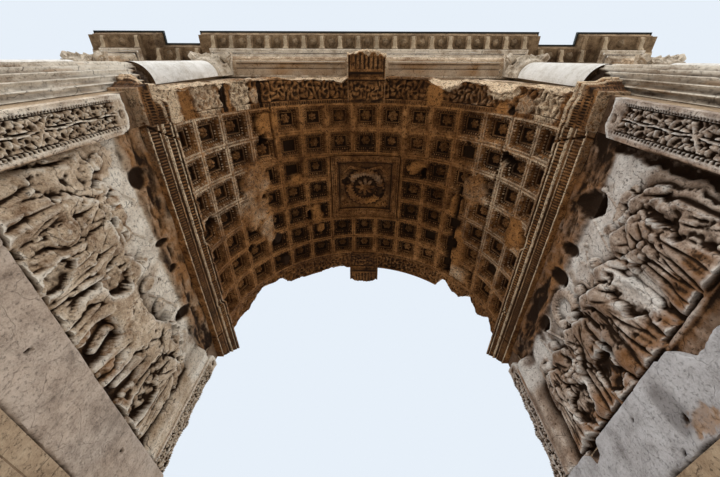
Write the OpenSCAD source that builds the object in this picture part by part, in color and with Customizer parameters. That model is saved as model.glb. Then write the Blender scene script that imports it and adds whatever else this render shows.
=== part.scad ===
// A single-bay triumphal arch of marble and travertine.
// X runs across the front, Y through the passage, Z up.
// The origin is on the ground at the centre of the passage.

/* [Passage] */
// Clear width of the passage, and twice the radius of its vault
passage_w = 5360; // [4000:10:7000]
// Height of the springing line above the ground
spring_z = 5620; // [4800:10:7000]
// Distance between the front and the back wall planes
body_d = 4630; // [4000:2:6000]
// How far the arch rings stand forward of the wall planes
ring_out = 15; // [10:1:80]
// Height of an arch ring, from its soffit to its outer edge
ring_h = 380; // [250:5:500]
// Width of the carved soffit band of each arch ring, along the passage
ring_band = 478; // [350:2:600]

/* [Coffers] */
// Number of coffers across the curve of the vault
coffer_cols = 15; // [9:2:21]
// Number of coffers along the passage
coffer_rows = 7; // [5:2:11]
// Angle from one coffer to the next
coffer_step = 11.72; // [8:0.01:12]
// Width of a rib between two coffers
coffer_rib = 90; // [50:1:140]
// Width of the ledge at each step inside a coffer
coffer_ledge = 42; // [20:1:55]
// Depth of each step inside a coffer
coffer_drop = 62; // [30:1:75]
// Thickness of the coffered lining
lining_t = 280; // [240:1:340]
// Side of the recess in the crown panel
panel_recess = 1240; // [800:10:1350]
// Depth of each of the two steps of that recess
panel_lip = 45; // [20:5:60]
// Thickness of the crown panel
crown_t = 200; // [140:5:240]
// Width of a keystone
key_w = 760; // [500:10:900]
// How far a keystone stands out from its arch ring
key_out = 490; // [300:10:560]
// How far the underside of a keystone hangs below the crown of the vault
key_drop = 40; // [10:5:80]
// Radius of the scroll at the foot of a keystone
scroll_r = 120; // [60:5:150]

/* [Jambs] */
// Height of the podium
podium_h = 2660; // [2000:10:3000]
// How far the podium stands out from the walls
podium_out = 450; // [430:5:560]
// Top of the plain dado in the passage
dado_z = 3320; // [3100:10:3600]
// Top of the relief panels in the passage
relief_z = 4950; // [4400:10:5100]
// Top of the carved strips beside the relief panels
strip_z = 5050; // [4400:10:5100]
// Radius of the worn upper corner of a carved strip
strip_round = 150; // [20:5:160]
// Depth of the relief panels' recess behind the jamb face
relief_drop = 190; // [100:5:260]
// Thickness of a relief slab
relief_t = 160; // [80:5:240]
// Depth of the broken hollow over the relief panels
hollow_drop = 225; // [150:5:240]
// Width of the carved strips beside the relief panels
strip_w = 395; // [250:5:480]
// Depth that the carved strips and dado blocks are let into the jamb
strip_t = 120; // [60:5:200]
// Height of the impost moulding
impost_h = 350; // [250:5:460]
// How far the impost stands out
impost_out = 170; // [80:2:220]
// Depth that the impost is let into the pier
impost_in = 370; // [150:5:420]

/* [Columns] */
// Distance from the side of the passage to the axis of an inner column
inner_off = 620; // [580:5:700]
// Distance between the axes of the inner and the corner columns
bay_w = 2715; // [2500:5:3200]
// Radius of a shaft at its foot
shaft_r = 325; // [280:1:360]
// Radius of a shaft at its neck
neck_r = 282; // [240:1:320]
// Height of a column base
base_h = 330; // [250:5:420]
// Height of a capital
capital_h = 600; // [550:5:900]
// Height of a capital's top slab
abacus_h = 110; // [80:5:150]
// How far a capital's leaves reach out
leaf_reach = 80; // [50:5:110]
// Width of a capital's leaf
leaf_w = 180; // [120:5:220]
// Radius of a capital's corner scrolls
volute_r = 95; // [60:5:120]
// Height at which the old fluted shaft ends and the plain one starts
break_z = 6300; // [4500:10:7000]
// Number of flutes round a whole shaft
flutes = 24; // [16:2:28]

/* [Entablature] */
// Distance from the top of an arch ring to the underside of the architrave
ring_to_beam = 320; // [10:5:400]
// Half the width of the entablature over a column
beam_hw = 275; // [250:5:320]
// Height of the architrave
architrave_h = 430; // [350:5:600]
// Height of the frieze
frieze_h = 390; // [300:5:600]
// Height of the mouldings under the cornice
bed_h = 200; // [150:5:300]
// Height of the cornice itself
cornice_h = 550; // [450:5:800]
// How far the cornice stands out from the frieze
cornice_out = 620; // [450:5:700]
// How far the mouldings under the cornice stand out from the frieze
bed_out = 240; // [150:5:260]
// Distance from one modillion to the next
modillion_step = 430; // [380:5:600]
// Width of a modillion
modillion_w = 150; // [120:5:220]
// Length of a modillion
modillion_l = 265; // [200:5:280]
// Height of a modillion
modillion_h = 160; // [120:5:220]
// How far the cornice's flat underside stops short of its edge
corona_in = 100; // [70:5:140]
// How far the lead sheet hangs out past the cornice
lead_over = 40; // [5:1:60]
// Thickness of the lead sheet on the cornice
lead_t = 24; // [10:1:40]

/* [Attic] */
// Height of the attic's foot course
attic_foot_h = 520; // [350:10:700]
// Height of the whole arch
total_h = 15400; // [14500:10:16500]
// Height of the attic's cornice
attic_cornice_h = 620; // [450:10:800]
// Width of the bare inscription panel inside its frame
inscription_w = 5900; // [4000:10:6200]
// Margin of bare wall over and under the inscription panel's frame
inscription_margin = 300; // [150:5:600]
// How far the attic's walls stand back from the face of the entablature
attic_in = 120; // [60:5:200]
// How far the attic's cornice stands out from its walls
attic_cornice_out = 330; // [200:5:450]
// Distance from the attic's walls to the edge of its low roof
roof_in = 300; // [200:10:500]
// Height of the low roof
roof_h = 260; // [150:5:400]

/* [Windows] */
// Width of a blind window
window_w = 900; // [600:10:1200]
// Height of a blind window
window_h = 1500; // [1000:10:1900]
// Height of a window's sill above the ground
window_z = 4750; // [4000:10:5200]
// Depth of a blind window
window_drop = 220; // [100:5:350]
// Width of a window's frame
frame_w = 150; // [80:5:220]

/* [Hidden] */
$fn = 96;

passage_r = passage_w / 2;
inner_x = passage_r + inner_off;
corner_x = inner_x + bay_w;
architrave_z = spring_z + passage_r + ring_h + ring_to_beam;
wall_y = body_d / 2;
ring_y = wall_y + ring_out;
lining_y = ring_y - ring_band;
lining_r = passage_r + lining_t;
ring_r = passage_r + ring_h;
haunch_x = ring_r + 120;
bare = "#b59f7f";
dark = "#7a6248";
pale = "#d8cfbf";
white = "#e6e2d8";
cut = 10;

// Plan outlines

function flip(q, sx, sy) = [for (a = q) [a[0] * sx, a[1] * sy]];
function back(q) = [for (i = [len(q) - 1:-1:0]) q[i]];
function all_round(q) = concat(q, back(flip(q, 1, -1)), flip(q, -1, -1), back(flip(q, -1, 1)));

// The outline of the entablature at a distance p out from its plain faces,
// which breaks forward over the inner columns and over the corner columns
beam_rest = 15;
function beam_plan(p) = all_round([
    [inner_x + beam_hw + p, -(wall_y + beam_hw + p)],
    [inner_x + beam_hw + p, -(wall_y + beam_rest + p)],
    [corner_x - beam_hw - p, -(wall_y + beam_rest + p)],
    [corner_x - beam_hw - p, -(wall_y + beam_hw + p)],
    [corner_x + beam_hw + p, -(wall_y + beam_hw + p)],
    [corner_x + beam_hw + p, -(wall_y - beam_hw - p)],
    [corner_x + beam_rest + p, -(wall_y - beam_hw - p)]]);

// A rectangle on one side of the passage, out by p on its three outer sides
function podium_plan(p) = [
    [passage_r, -(wall_y + p)], [corner_x + p, -(wall_y + p)],
    [corner_x + p, wall_y + p], [passage_r, wall_y + p]];

// Profiles are lists of [distance out, height]

// A convex quarter round from a to b, and a hollow one
function ovolo(a, b, n = 5) = [for (i = [0:n]) let (t = 90 * i / n)
    [a[0] + (b[0] - a[0]) * sin(t), a[1] + (b[1] - a[1]) * (1 - cos(t))]];
function cavetto(a, b, n = 5) = [for (i = [0:n]) let (t = 90 * i / n)
    [a[0] + (b[0] - a[0]) * (1 - cos(t)), a[1] + (b[1] - a[1]) * sin(t)]];

// The top of a course in convex pieces, by the places of their corners in its outline.
// The right half is listed, and the left half is its mirror image.
beam_caps_right = [[1, 2, 11, 12], [2, 3, 4, 5, 6], [7, 8, 9, 10, 11], [2, 6, 7, 11]];
beam_caps = concat([[27, 0, 1, 26], [12, 13, 14, 15], [26, 1, 12, 15]], beam_caps_right,
    [for (f = beam_caps_right) [for (i = back(f)) 27 - i]]);

// One course of stone with moulded edges: its outline at each point of a profile
module course(profile, plans, caps = [[0, 1, 2, 3]]) {
    n = len(plans[0]);
    m = len(profile);
    points = [for (j = [0:m - 1]) for (q = plans[j]) [q[0], q[1], profile[j][1]]];
    sides = [for (j = [0:m - 2]) for (i = [0:n - 1]) let (k = (i + 1) % n)
        [j * n + i, (j + 1) * n + i, (j + 1) * n + k, j * n + k]];
    top = [for (f = caps) [for (i = back(f)) (m - 1) * n + i]];
    polyhedron(points = points, faces = concat(caps, sides, top));
}

module beam_course(profile) {
    course(profile, [for (s = profile) beam_plan(s[0])], beam_caps);
}

module podium_course(profile) {
    course(profile, [for (s = profile) podium_plan(s[0])]);
}

module on_right() { mirror([1, 0, 0]) children(); }
module on_back() { mirror([0, 1, 0]) children(); }

// Both sides of a symmetrical pair
module pair_x() { children(); mirror([1, 0, 0]) children(); }
module pair_y() { children(); mirror([0, 1, 0]) children(); }

// Podiums

podium_foot_h = 380;
podium_cap_h = 240;
podium_die = podium_out - 90;
podium_profile = concat(
    [[podium_out, 0], [podium_out, podium_foot_h * 0.55]],
    cavetto([podium_out - 20, podium_foot_h * 0.6], [podium_die, podium_foot_h]),
    [[podium_die, podium_h - podium_cap_h]],
    ovolo([podium_die + 15, podium_h - podium_cap_h + 20], [podium_out, podium_h - podium_cap_h * 0.45]),
    [[podium_out, podium_h]]);

module podium_right() {
    color(bare) podium_course(podium_profile);
}
module podium_left() {
    on_right() podium_right();
}

// Piers, from the podium to the springing line

impost_z = spring_z - impost_h;
window_x = (inner_x + corner_x) / 2;
strip_y = wall_y - strip_w;
pocket_t = relief_drop + relief_t;

module window_void(w, h) {
    translate([window_x - w / 2, -wall_y - cut, window_z + (window_h - h) / 2])
        cube([w, window_drop + cut, h]);
}

module pier_right() {
    color(bare) difference() {
        translate([passage_r, -wall_y, podium_h])
            cube([corner_x - passage_r, body_d, spring_z - podium_h]);
        // Pocket for the relief panel, and the broken hollow over it
        translate([passage_r - cut, -strip_y, dado_z])
            cube([pocket_t + cut, 2 * strip_y, relief_z - dado_z]);
        translate([passage_r - cut, -strip_y, relief_z])
            cube([hollow_drop + cut, 2 * strip_y, impost_z - relief_z]);
        // Rebates for the carved strips at the two ends
        pair_y() translate([passage_r - cut, -wall_y - cut, dado_z])
            cube([strip_t + cut, strip_w + cut, impost_z - dado_z]);
        // Rebate for the dado blocks
        translate([passage_r - cut, -wall_y - cut, podium_h - cut])
            cube([strip_t + cut, body_d + 2 * cut, dado_z - podium_h + cut]);
        // Bed of the impost
        translate([passage_r - cut, -wall_y - cut, spring_z - impost_h])
            cube([impost_in + cut, body_d + 2 * cut, impost_h + cut]);
        pair_y() window_void(window_w, window_h);
    }
}
module pier_left() {
    on_right() pier_right();
}

// The masonry over the piers, beside the vault, up to the architrave
module haunch_right() {
    color(bare) difference() {
        translate([haunch_x, -wall_y, spring_z])
            cube([corner_x - haunch_x, body_d, architrave_z - spring_z]);
        pair_y() window_void(window_w, window_h);
    }
}
module haunch_left() {
    on_right() haunch_right();
}

// Linings of the passage

dado_joint = 6;
module dado_right() {
    joints = [-1, -0.62, 0.07, 0.72, 1];
    color(pale) for (i = [0:3]) let (y0 = joints[i] * wall_y + (i > 0 ? dado_joint : 0))
        translate([passage_r, y0, podium_h])
            cube([strip_t, joints[i + 1] * wall_y - y0, dado_z - podium_h]);
}
module dado_left() {
    on_right() dado_right();
}

module relief_panel_right() {
    color(bare) translate([passage_r + relief_drop, -strip_y, dado_z])
        cube([relief_t, 2 * strip_y, relief_z - dado_z]);
}
module relief_panel_left() {
    on_right() relief_panel_right();
}

// The face of a carved strip, with its upper inner corner worn round
module strip_face(w, h, r) {
    square([w, h - r]);
    square([w - r, h]);
    translate([w - r, h - r]) circle(r);
}

strip_border = 45;
strip_margin = 95;
strip_sink = 30;
strip_head = 190;
module jamb_strips_right() {
    h = strip_z - dado_z;
    color(bare) pair_y() difference() {
        translate([passage_r, -wall_y, dado_z]) rotate([90, 0, 90])
            linear_extrude(strip_t) strip_face(strip_w, h, strip_round);
        // The sunk field between the strip's borders, the wider one along the corner of the wall
        translate([passage_r - cut, -wall_y + strip_margin, dado_z + strip_border])
            cube([strip_sink + cut, strip_w - strip_margin - strip_border, h - strip_border - strip_head]);
    }
}
module jamb_strips_left() {
    on_right() jamb_strips_right();
}

// Imposts, which run through the passage and return to the columns

function impost_plan(p) = [
    [passage_r - p, -(wall_y + p)], [passage_r + impost_in, -(wall_y + p)],
    [passage_r + impost_in, wall_y + p], [passage_r - p, wall_y + p]];
impost_profile = concat(
    [[0, impost_z], [0, impost_z + 30]],
    ovolo([15, impost_z + 36], [55, impost_z + 90]),
    [[62, impost_z + 96], [62, impost_z + 130]],
    cavetto([70, impost_z + 136], [110, impost_z + 200]),
    [[118, impost_z + 206], [118, impost_z + 236]],
    ovolo([126, impost_z + 242], [impost_out, impost_z + 290]),
    [[impost_out, spring_z]]);

impost_gap = 1;
module impost_right() {
    color(dark) difference() {
        course(impost_profile, [for (s = impost_profile) impost_plan(s[0])]);
        // The returns die against the columns
        pair_y() translate([inner_x, -wall_y, impost_z - cut]) intersection() {
            cylinder(r = shaft_r_at(impost_z) + impost_gap, h = impost_h + 2 * cut);
            translate([-shaft_r, -shaft_r, 0]) cube([2 * shaft_r, shaft_r, impost_h + 2 * cut]);
        }
    }
}
module impost_left() {
    on_right() impost_right();
}

// The vault

row_step = 2 * lining_y / coffer_rows;
col_step = coffer_step * PI / 180 * passage_r;
crown_cols = 3;
crown_rows = 3;

// A tunnel along the passage, centred on the springing line
module tunnel(r, y0, y1) {
    translate([0, y1, spring_z]) rotate([90, 0, 0]) cylinder(r = r, h = y1 - y0, $fn = 480);
}

// The half space over the springing line, as wide as the haunches leave
module over_springing(y0, y1, top) {
    translate([-haunch_x, y0, spring_z]) cube([2 * haunch_x, y1 - y0, top - spring_z]);
}

module vault_barrel() {
    color(bare) difference() {
        over_springing(-lining_y, lining_y, architrave_z);
        tunnel(lining_r, -lining_y - cut, lining_y + cut);
    }
}

// Three stepped sinkings, one inside the other, centred at angle a and place y
module coffer_void(a, y) {
    translate([0, y, spring_z]) rotate([0, a, 0])
        for (s = [0:2]) let (w = col_step - coffer_rib - 2 * s * coffer_ledge,
                             l = row_step - coffer_rib - 2 * s * coffer_ledge,
                             d = coffer_drop * (s + 1))
            translate([-w / 2, -l / 2, passage_r - coffer_drop])
                cube([w, l, d + coffer_drop]);
}

// Column and row of each coffer whose carving is lost, counted from the crown
lost_coffers = concat([for (j = [-3:3]) [-4, j]], [for (j = [-1:1]) [-5, j]], [[4, 2], [4, 3]]);
function is_lost(i, j) = len([for (c = lost_coffers) if (c[0] == i && c[1] == j) c]) > 0;

// What a lost coffer leaves: a shallow hollow over its whole square
module lost_void(a, y) {
    w = col_step + coffer_rib / 3;
    l = row_step + coffer_rib / 3;
    translate([0, y, spring_z]) rotate([0, a, 0])
        translate([-w / 2, -l / 2, passage_r - coffer_drop]) cube([w, l, coffer_drop * 1.7]);
}

function in_crown(i, j) = abs(i) <= (crown_cols - 1) / 2 && abs(j) <= (crown_rows - 1) / 2;

module vault_coffering() {
    half_cols = (coffer_cols - 1) / 2;
    half_rows = (coffer_rows - 1) / 2;
    color(dark) difference() {
        intersection() {
            tunnel(lining_r, -lining_y, lining_y);
            over_springing(-lining_y, lining_y, architrave_z);
        }
        tunnel(passage_r, -lining_y - cut, lining_y + cut);
        for (i = [-half_cols:half_cols]) for (j = [-half_rows:half_rows])
            if (is_lost(i, j)) lost_void(i * coffer_step, j * row_step);
            else if (!in_crown(i, j)) coffer_void(i * coffer_step, j * row_step);
        crown_wedge(passage_r - cut, passage_r + crown_t);
    }
}

crown_half = crown_cols * coffer_step / 2;
crown_l = crown_rows * row_step - coffer_rib;

// A curved block over the crown of the vault, between two radii
module crown_wedge(r0, r1) {
    a = crown_half - coffer_rib / 2 / passage_r * 180 / PI;
    translate([0, crown_l / 2, spring_z]) rotate([90, 0, 0]) rotate([0, 0, 90 - a])
        linear_extrude(crown_l)
            difference() {
                intersection() {
                    circle(r1, $fn = 480);
                    polygon([[0, 0], [2 * r1, 0], [2 * r1 * cos(a), 2 * r1 * sin(a)],
                             [2 * r1 * cos(2 * a), 2 * r1 * sin(2 * a)]]);
                }
                circle(r0, $fn = 480);
            }
}

module crown_panel() {
    color(dark) difference() {
        crown_wedge(passage_r, passage_r + crown_t);
        for (s = [0:1]) let (w = panel_recess - 2 * s * panel_lip, d = panel_lip * (s + 1))
            translate([-w / 2, -w / 2, spring_z + passage_r - crown_t])
                cube([w, w, crown_t + d]);
    }
}

// Arch rings at the two ends of the vault, cut by the keystones

ring_step = 15;
module arch_ring_front() {
    color(bare) difference() {
        intersection() {
            tunnel(ring_r, -ring_y, -lining_y);
            over_springing(-ring_y, -lining_y, architrave_z);
        }
        tunnel(passage_r, -ring_y - cut, -lining_y + cut);
        // Two steps that divide the face into three bands
        for (s = [1:2])
            tunnel(ring_r - s * ring_h / 3, -ring_y - cut, -ring_y + s * ring_step);
        key_block(cut);
        pair_x() column_room();
    }
}
module arch_ring_back() {
    on_back() arch_ring_front();
}

// The keystone's place in the ring
module key_block(more) {
    translate([-key_w / 2, -ring_y - more, spring_z + passage_r / 2])
        cube([key_w, ring_band + 2 * more, architrave_z - spring_z]);
}

// The keystones are consoles that reach forward under the architrave,
// with a large scroll at the foot and a small one at the top
key_lip = 50;
module keystone_front() {
    z0 = spring_z + passage_r - key_drop;
    z1 = architrave_z;
    foot = z0 - key_lip;
    front = -ring_y - key_out;
    top_r = scroll_r * 0.6;
    color(bare) translate([-key_w / 2, 0, 0]) rotate([90, 0, 90]) linear_extrude(key_w) union() {
        polygon([[-lining_y, z0], [-lining_y, z1], [front + top_r, z1], [front + top_r, foot + scroll_r],
                 [front + scroll_r, foot], [-ring_y - key_lip, foot], [-ring_y, z0]]);
        translate([front + scroll_r, foot + scroll_r]) circle(scroll_r);
        translate([front + top_r, z1 - top_r]) circle(top_r);
    }
}
module keystone_back() {
    on_back() keystone_front();
}

// The walls over the arch rings, beside the keystones
module spandrels_front() {
    color(bare) difference() {
        over_springing(-wall_y, -lining_y, architrave_z);
        tunnel(ring_r, -ring_y - cut, -lining_y + cut);
        key_block(cut);
    }
}
module spandrels_back() {
    on_back() spandrels_front();
}

// Columns

shaft_foot = podium_h + base_h;
shaft_top = architrave_z - capital_h;

// Where a column stands in front of the arch ring
module column_room() {
    translate([inner_x, -wall_y, spring_z - cut]) cylinder(r = shaft_r + 1, h = shaft_top - spring_z);
}

// What is left of a round piece where the walls of the body take their share
module outside_body() {
    difference() {
        children();
        translate([-corner_x, -wall_y, 0]) cube([2 * corner_x, body_d, total_h]);
    }
}

module each_front_column() {
    for (x = [-corner_x, -inner_x, inner_x, corner_x]) translate([x, -wall_y, 0]) children();
}

module base_profile() {
    h = base_h;
    rotate_extrude() polygon(concat(
        [[0, h], [0, h * 0.3], [shaft_r * 1.3, h * 0.3]],
        [for (i = [1:5]) let (t = 180 * i / 6)
            [shaft_r * 1.3 + h * 0.11 * sin(t), h * (0.3 + 0.11 * (1 - cos(t)))]],
        [[shaft_r * 1.26, h * 0.52], [shaft_r * 1.26, h * 0.55]],
        [for (i = [1:5]) let (t = 180 * i / 6)
            [shaft_r * 1.22 - h * 0.09 * sin(t), h * (0.55 + 0.09 * (1 - cos(t)))]],
        [[shaft_r * 1.16, h * 0.73], [shaft_r * 1.16, h * 0.76]],
        [for (i = [1:5]) let (t = 180 * i / 6)
            [shaft_r * 1.13 + h * 0.08 * sin(t), h * (0.76 + 0.08 * (1 - cos(t)))]],
        [[shaft_r * 1.08, h * 0.92], [shaft_r * 1.08, h]]));
}

module column_bases() {
    side = 2 * (shaft_r * 1.3 + base_h * 0.11);
    color(pale) outside_body() pair_y() each_front_column() translate([0, 0, podium_h]) {
        base_profile();
        translate([-side / 2, -side / 2, 0]) cube([side, side, base_h * 0.3]);
    }
}

function shaft_r_at(z) = shaft_r - (shaft_r - neck_r) * (z - shaft_foot) / (shaft_top - shaft_foot);

module plain_shaft(z0, z1) {
    translate([0, 0, z0]) cylinder(r1 = shaft_r_at(z0), r2 = shaft_r_at(z1), h = z1 - z0);
}

flute_r = PI * shaft_r / flutes * 0.8;
module fluted_shaft(z0, z1) {
    difference() {
        plain_shaft(z0, z1);
        for (i = [0:flutes - 1]) rotate([0, 0, (i + 0.5) * 360 / flutes])
            translate([shaft_r_at(z0) + flute_r * 0.3, 0, z0 + flute_r])
                rotate([0, -atan((shaft_r - neck_r) / (shaft_top - shaft_foot)), 0])
                    cylinder(r = flute_r, h = z1 - z0);
    }
}

module inner_shafts_front() {
    color(white) outside_body() for (x = [-inner_x, inner_x]) translate([x, -wall_y, 0]) {
        fluted_shaft(shaft_foot, break_z);
        plain_shaft(break_z, shaft_top);
    }
}
module inner_shafts_back() {
    on_back() inner_shafts_front();
}

module corner_shafts_front() {
    color(white) outside_body() for (x = [-corner_x, corner_x]) translate([x, -wall_y, 0])
        plain_shaft(shaft_foot, shaft_top);
}
module corner_shafts_back() {
    on_back() corner_shafts_front();
}

// Capitals: a bell with two rows of leaves, corner scrolls and a hollow-sided slab

abacus_hw = beam_hw + 150;
bell_flare = 90;
collar = 25;
bell_h = capital_h - abacus_h;

module bell() {
    rotate_extrude() polygon(concat(
        [[0, 0], [neck_r + collar, 0], [neck_r + collar, 2 * collar], [neck_r, 2 * collar]],
        [for (i = [1:5]) let (t = i / 5)
            [neck_r + bell_flare * t * t, 2 * collar + (bell_h - 2 * collar) * t]],
        [[0, bell_h]]));
}

// A curled leaf that leans out from the bell, at one angle round it
module leaf(z0, h, reach, turn) {
    foot = neck_r + collar;
    n = 4;
    tip = z0 + h * 1.06;
    outer = [for (i = [0:n]) let (t = 90 * i / n) [foot + reach * (1 - cos(t)), z0 + h * sin(t)]];
    rotate([0, 0, turn]) translate([0, leaf_w / 2, 0]) rotate([90, 0, 0]) linear_extrude(leaf_w)
        polygon(concat([[neck_r / 2, z0]], outer, [[foot + reach, tip], [neck_r / 2, tip]]));
}

// A square slab with hollow sides
module abacus() {
    r = abacus_hw * 4;
    linear_extrude(abacus_h) difference() {
        square(2 * abacus_hw, center = true);
        for (q = [0:3]) rotate(q * 90) translate([r + abacus_hw * 0.87, 0]) circle(r);
    }
}

module capital() {
    bell();
    for (i = [0:7]) {
        leaf(2 * collar, capital_h * 0.3, leaf_reach, i * 45);
        leaf(2 * collar + 7, capital_h * 0.52, leaf_reach * 1.25, i * 45 + 22.5);
    }
    for (q = [0:3]) rotate([0, 0, 45 + q * 90])
        translate([abacus_hw * 1.13, volute_r / 2, bell_h - volute_r]) rotate([90, 0, 0])
            cylinder(r = volute_r, h = volute_r);
    translate([0, 0, bell_h]) abacus();
}

module capitals_front() {
    color(bare) outside_body() each_front_column() translate([0, 0, shaft_top]) capital();
}
module capitals_back() {
    on_back() capitals_front();
}

// Entablature

frieze_z = architrave_z + architrave_h;
bed_z = frieze_z + frieze_h;
cornice_z = bed_z + bed_h;
modillion_gap = 10;
cornice_top = cornice_z + cornice_h;
fascia = architrave_h / 4;

// Sunk panels on the underside, in front of the arch and over the side bays
soffit_sink = 45;
soffit_w = 110;
soffit_mid = 177;
soffit_end = 480;
module soffit_panel(x0, x1) {
    translate([x0, -wall_y - soffit_mid - soffit_w / 2, architrave_z - cut])
        cube([x1 - x0, soffit_w, soffit_sink + cut]);
}

module architrave() {
    z = architrave_z;
    color(bare) difference() {
        beam_course(concat(
            [[0, z], [0, z + fascia], [14, z + fascia], [14, z + 2 * fascia],
             [28, z + 2 * fascia], [28, z + 3 * fascia]],
            ovolo([36, z + 3 * fascia + 8], [70, z + 3.6 * fascia]),
            [[78, z + 3.6 * fascia + 6], [78, z + architrave_h]]));
        pair_y() pair_x() soffit_panel(key_w / 2 + soffit_w, inner_x - soffit_end);
    }
}

module frieze() {
    color(bare) beam_course([[4, frieze_z], [4, bed_z]]);
}

module cornice_bed() {
    z = bed_z;
    h = bed_h;
    color(pale) beam_course(concat(
        [[10, z]], ovolo([22, z + 10], [bed_out * 0.42, z + h * 0.28]),
        [[bed_out * 0.5, z + h * 0.3], [bed_out * 0.5, z + h * 0.42]],
        cavetto([bed_out * 0.54, z + h * 0.45], [bed_out * 0.66, z + h * 0.62]),
        [[bed_out * 0.73, z + h * 0.65], [bed_out * 0.73, z + h * 0.76]],
        ovolo([bed_out * 0.78, z + h * 0.8], [bed_out, z + h])));
}

corona_z = cornice_z + modillion_h + modillion_gap;

// A console with a curved underside, whose back is at y = 0 and top at z = 0
module modillion() {
    l = modillion_l;
    h = modillion_h;
    side = concat([[0, 0], [-l, 0], [-l, -h * 0.3]],
        [for (i = [1:6]) let (t = i / 6)
            [-l * (1 - t), -h * (0.3 + 0.7 * t) - h * 0.12 * sin(360 * t)]]);
    translate([-modillion_w / 2, 0, 0]) rotate([90, 0, 90]) linear_extrude(modillion_w) polygon(side);
}

// Modillions along one straight face, from x = 0 to x = l
row_end = 20;
module modillion_row(l) {
    room = l - modillion_w - 2 * row_end;
    n = max(1, floor(room / modillion_step));
    for (i = [0:n]) translate([row_end + modillion_w / 2 + room * i / n, 0, 0]) modillion();
}

module modillions() {
    q = bed_out;
    yf = wall_y + beam_hw + q;
    yr = wall_y + beam_rest + q;
    corner_l = 2 * (beam_hw + q);
    color(pale) translate([0, 0, corona_z]) pair_y() {
        translate([-(inner_x + beam_hw + q), -yf, 0]) modillion_row(2 * (inner_x + beam_hw + q));
        pair_x() {
            bay0 = inner_x + beam_hw + q + modillion_l;
            translate([bay0, -yr, 0])
                modillion_row(corner_x - beam_hw - q - modillion_l - bay0);
            translate([corner_x - beam_hw - q, -yf, 0]) modillion_row(corner_l);
            translate([corner_x + beam_hw + q, -yf, 0]) rotate([0, 0, 90]) modillion_row(corner_l);
        }
    }
    side_l = 2 * (wall_y - beam_hw - q - modillion_l);
    color(pale) translate([0, 0, corona_z]) pair_x()
        translate([corner_x + beam_rest + q, -side_l / 2, 0]) rotate([0, 0, 90])
            modillion_row(side_l);
}

// The block behind the modillions, the overhanging corona and the gutter moulding
module cornice() {
    z = corona_z;
    h = cornice_top - z;
    out0 = cornice_out - corona_in;
    out1 = cornice_out - lead_over;
    w = out1 - out0;
    color(bare) beam_course(concat(
        [[bed_out, cornice_z], [bed_out, z], [out0, z], [out0, z + h * 0.4]],
        ovolo([out0 + w * 0.1, z + h * 0.44], [out0 + w * 0.45, z + h * 0.56]),
        cavetto([out0 + w * 0.5, z + h * 0.6], [out1, z + h * 0.88]),
        [[out1, cornice_top]]));
}

module cornice_lead() {
    color("#3f4a48") beam_course([[cornice_out, cornice_top], [cornice_out, cornice_top + lead_t]]);
}

// Attic

attic_z = cornice_top + lead_t;
attic_top = total_h - roof_h;
attic_face = -attic_in;
foot_z = attic_z + attic_foot_h;
crown_z = attic_top - attic_cornice_h;

module attic_foot() {
    z = attic_z;
    color(pale) beam_course(concat(
        [[60, z], [60, z + attic_foot_h * 0.6]],
        cavetto([50, z + attic_foot_h * 0.64], [attic_face + 20, foot_z - 40]),
        [[attic_face + 20, foot_z]]));
}

module attic_body() {
    color(pale) beam_course([[attic_face, foot_z], [attic_face, crown_z]]);
}

panel_frame = 240;
panel_out = 70;
panel_step = 72;
panel_drop = 15;
module inscription_panel_front() {
    zc = (foot_z + crown_z) / 2;
    y = wall_y + beam_hw + attic_face;
    w = inscription_w;
    h = crown_z - foot_z - 2 * inscription_margin - 2 * panel_frame;
    color(white) translate([0, -y, zc]) rotate([90, 0, 0]) difference() {
        translate([0, 0, panel_out / 2])
            cube([w + 2 * panel_frame, h + 2 * panel_frame, panel_out], center = true);
        for (s = [0:2]) let (g = 2 * panel_step * (2 - s), d = panel_drop * (s + 1))
            translate([0, 0, panel_out - d + panel_out])
                cube([w + g, h + g, 2 * panel_out], center = true);
    }
}
module inscription_panel_back() {
    on_back() inscription_panel_front();
}

module attic_cornice() {
    z = crown_z;
    a = attic_face;
    b = attic_face + attic_cornice_out;
    h = attic_cornice_h;
    color(pale) beam_course(concat(
        [[a + 10, z]], ovolo([a + 25, z + 20], [a + 70, z + h * 0.16]),
        [[a + 80, z + h * 0.2], [a + 80, z + h * 0.36]],
        ovolo([a + 95, z + h * 0.4], [a + 140, z + h * 0.52]),
        [[b - 70, z + h * 0.54], [b - 70, z + h * 0.74]],
        cavetto([b - 60, z + h * 0.78], [b, z + h * 0.94]), [[b, attic_top]]));
}

// A low hipped roof on an upstand
roof_edge = 0.6;
module attic_roof() {
    w = corner_x - roof_in;
    d = wall_y - roof_in;
    z = attic_top + roof_h * roof_edge;
    foot = [[-w, -d], [w, -d], [w, d], [-w, d]];
    color(pale) polyhedron(
        points = concat([for (q = foot) [q[0], q[1], attic_top]], [for (q = foot) [q[0], q[1], z]],
                        [[d - w, 0, total_h], [w - d, 0, total_h]]),
        faces = [[0, 1, 2, 3], [0, 4, 5, 1], [1, 5, 6, 2], [2, 6, 7, 3], [3, 7, 4, 0],
                 [4, 8, 9, 5], [5, 9, 6], [6, 9, 8, 7], [7, 8, 4]]);
}

// Blind windows in the side bays

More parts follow.
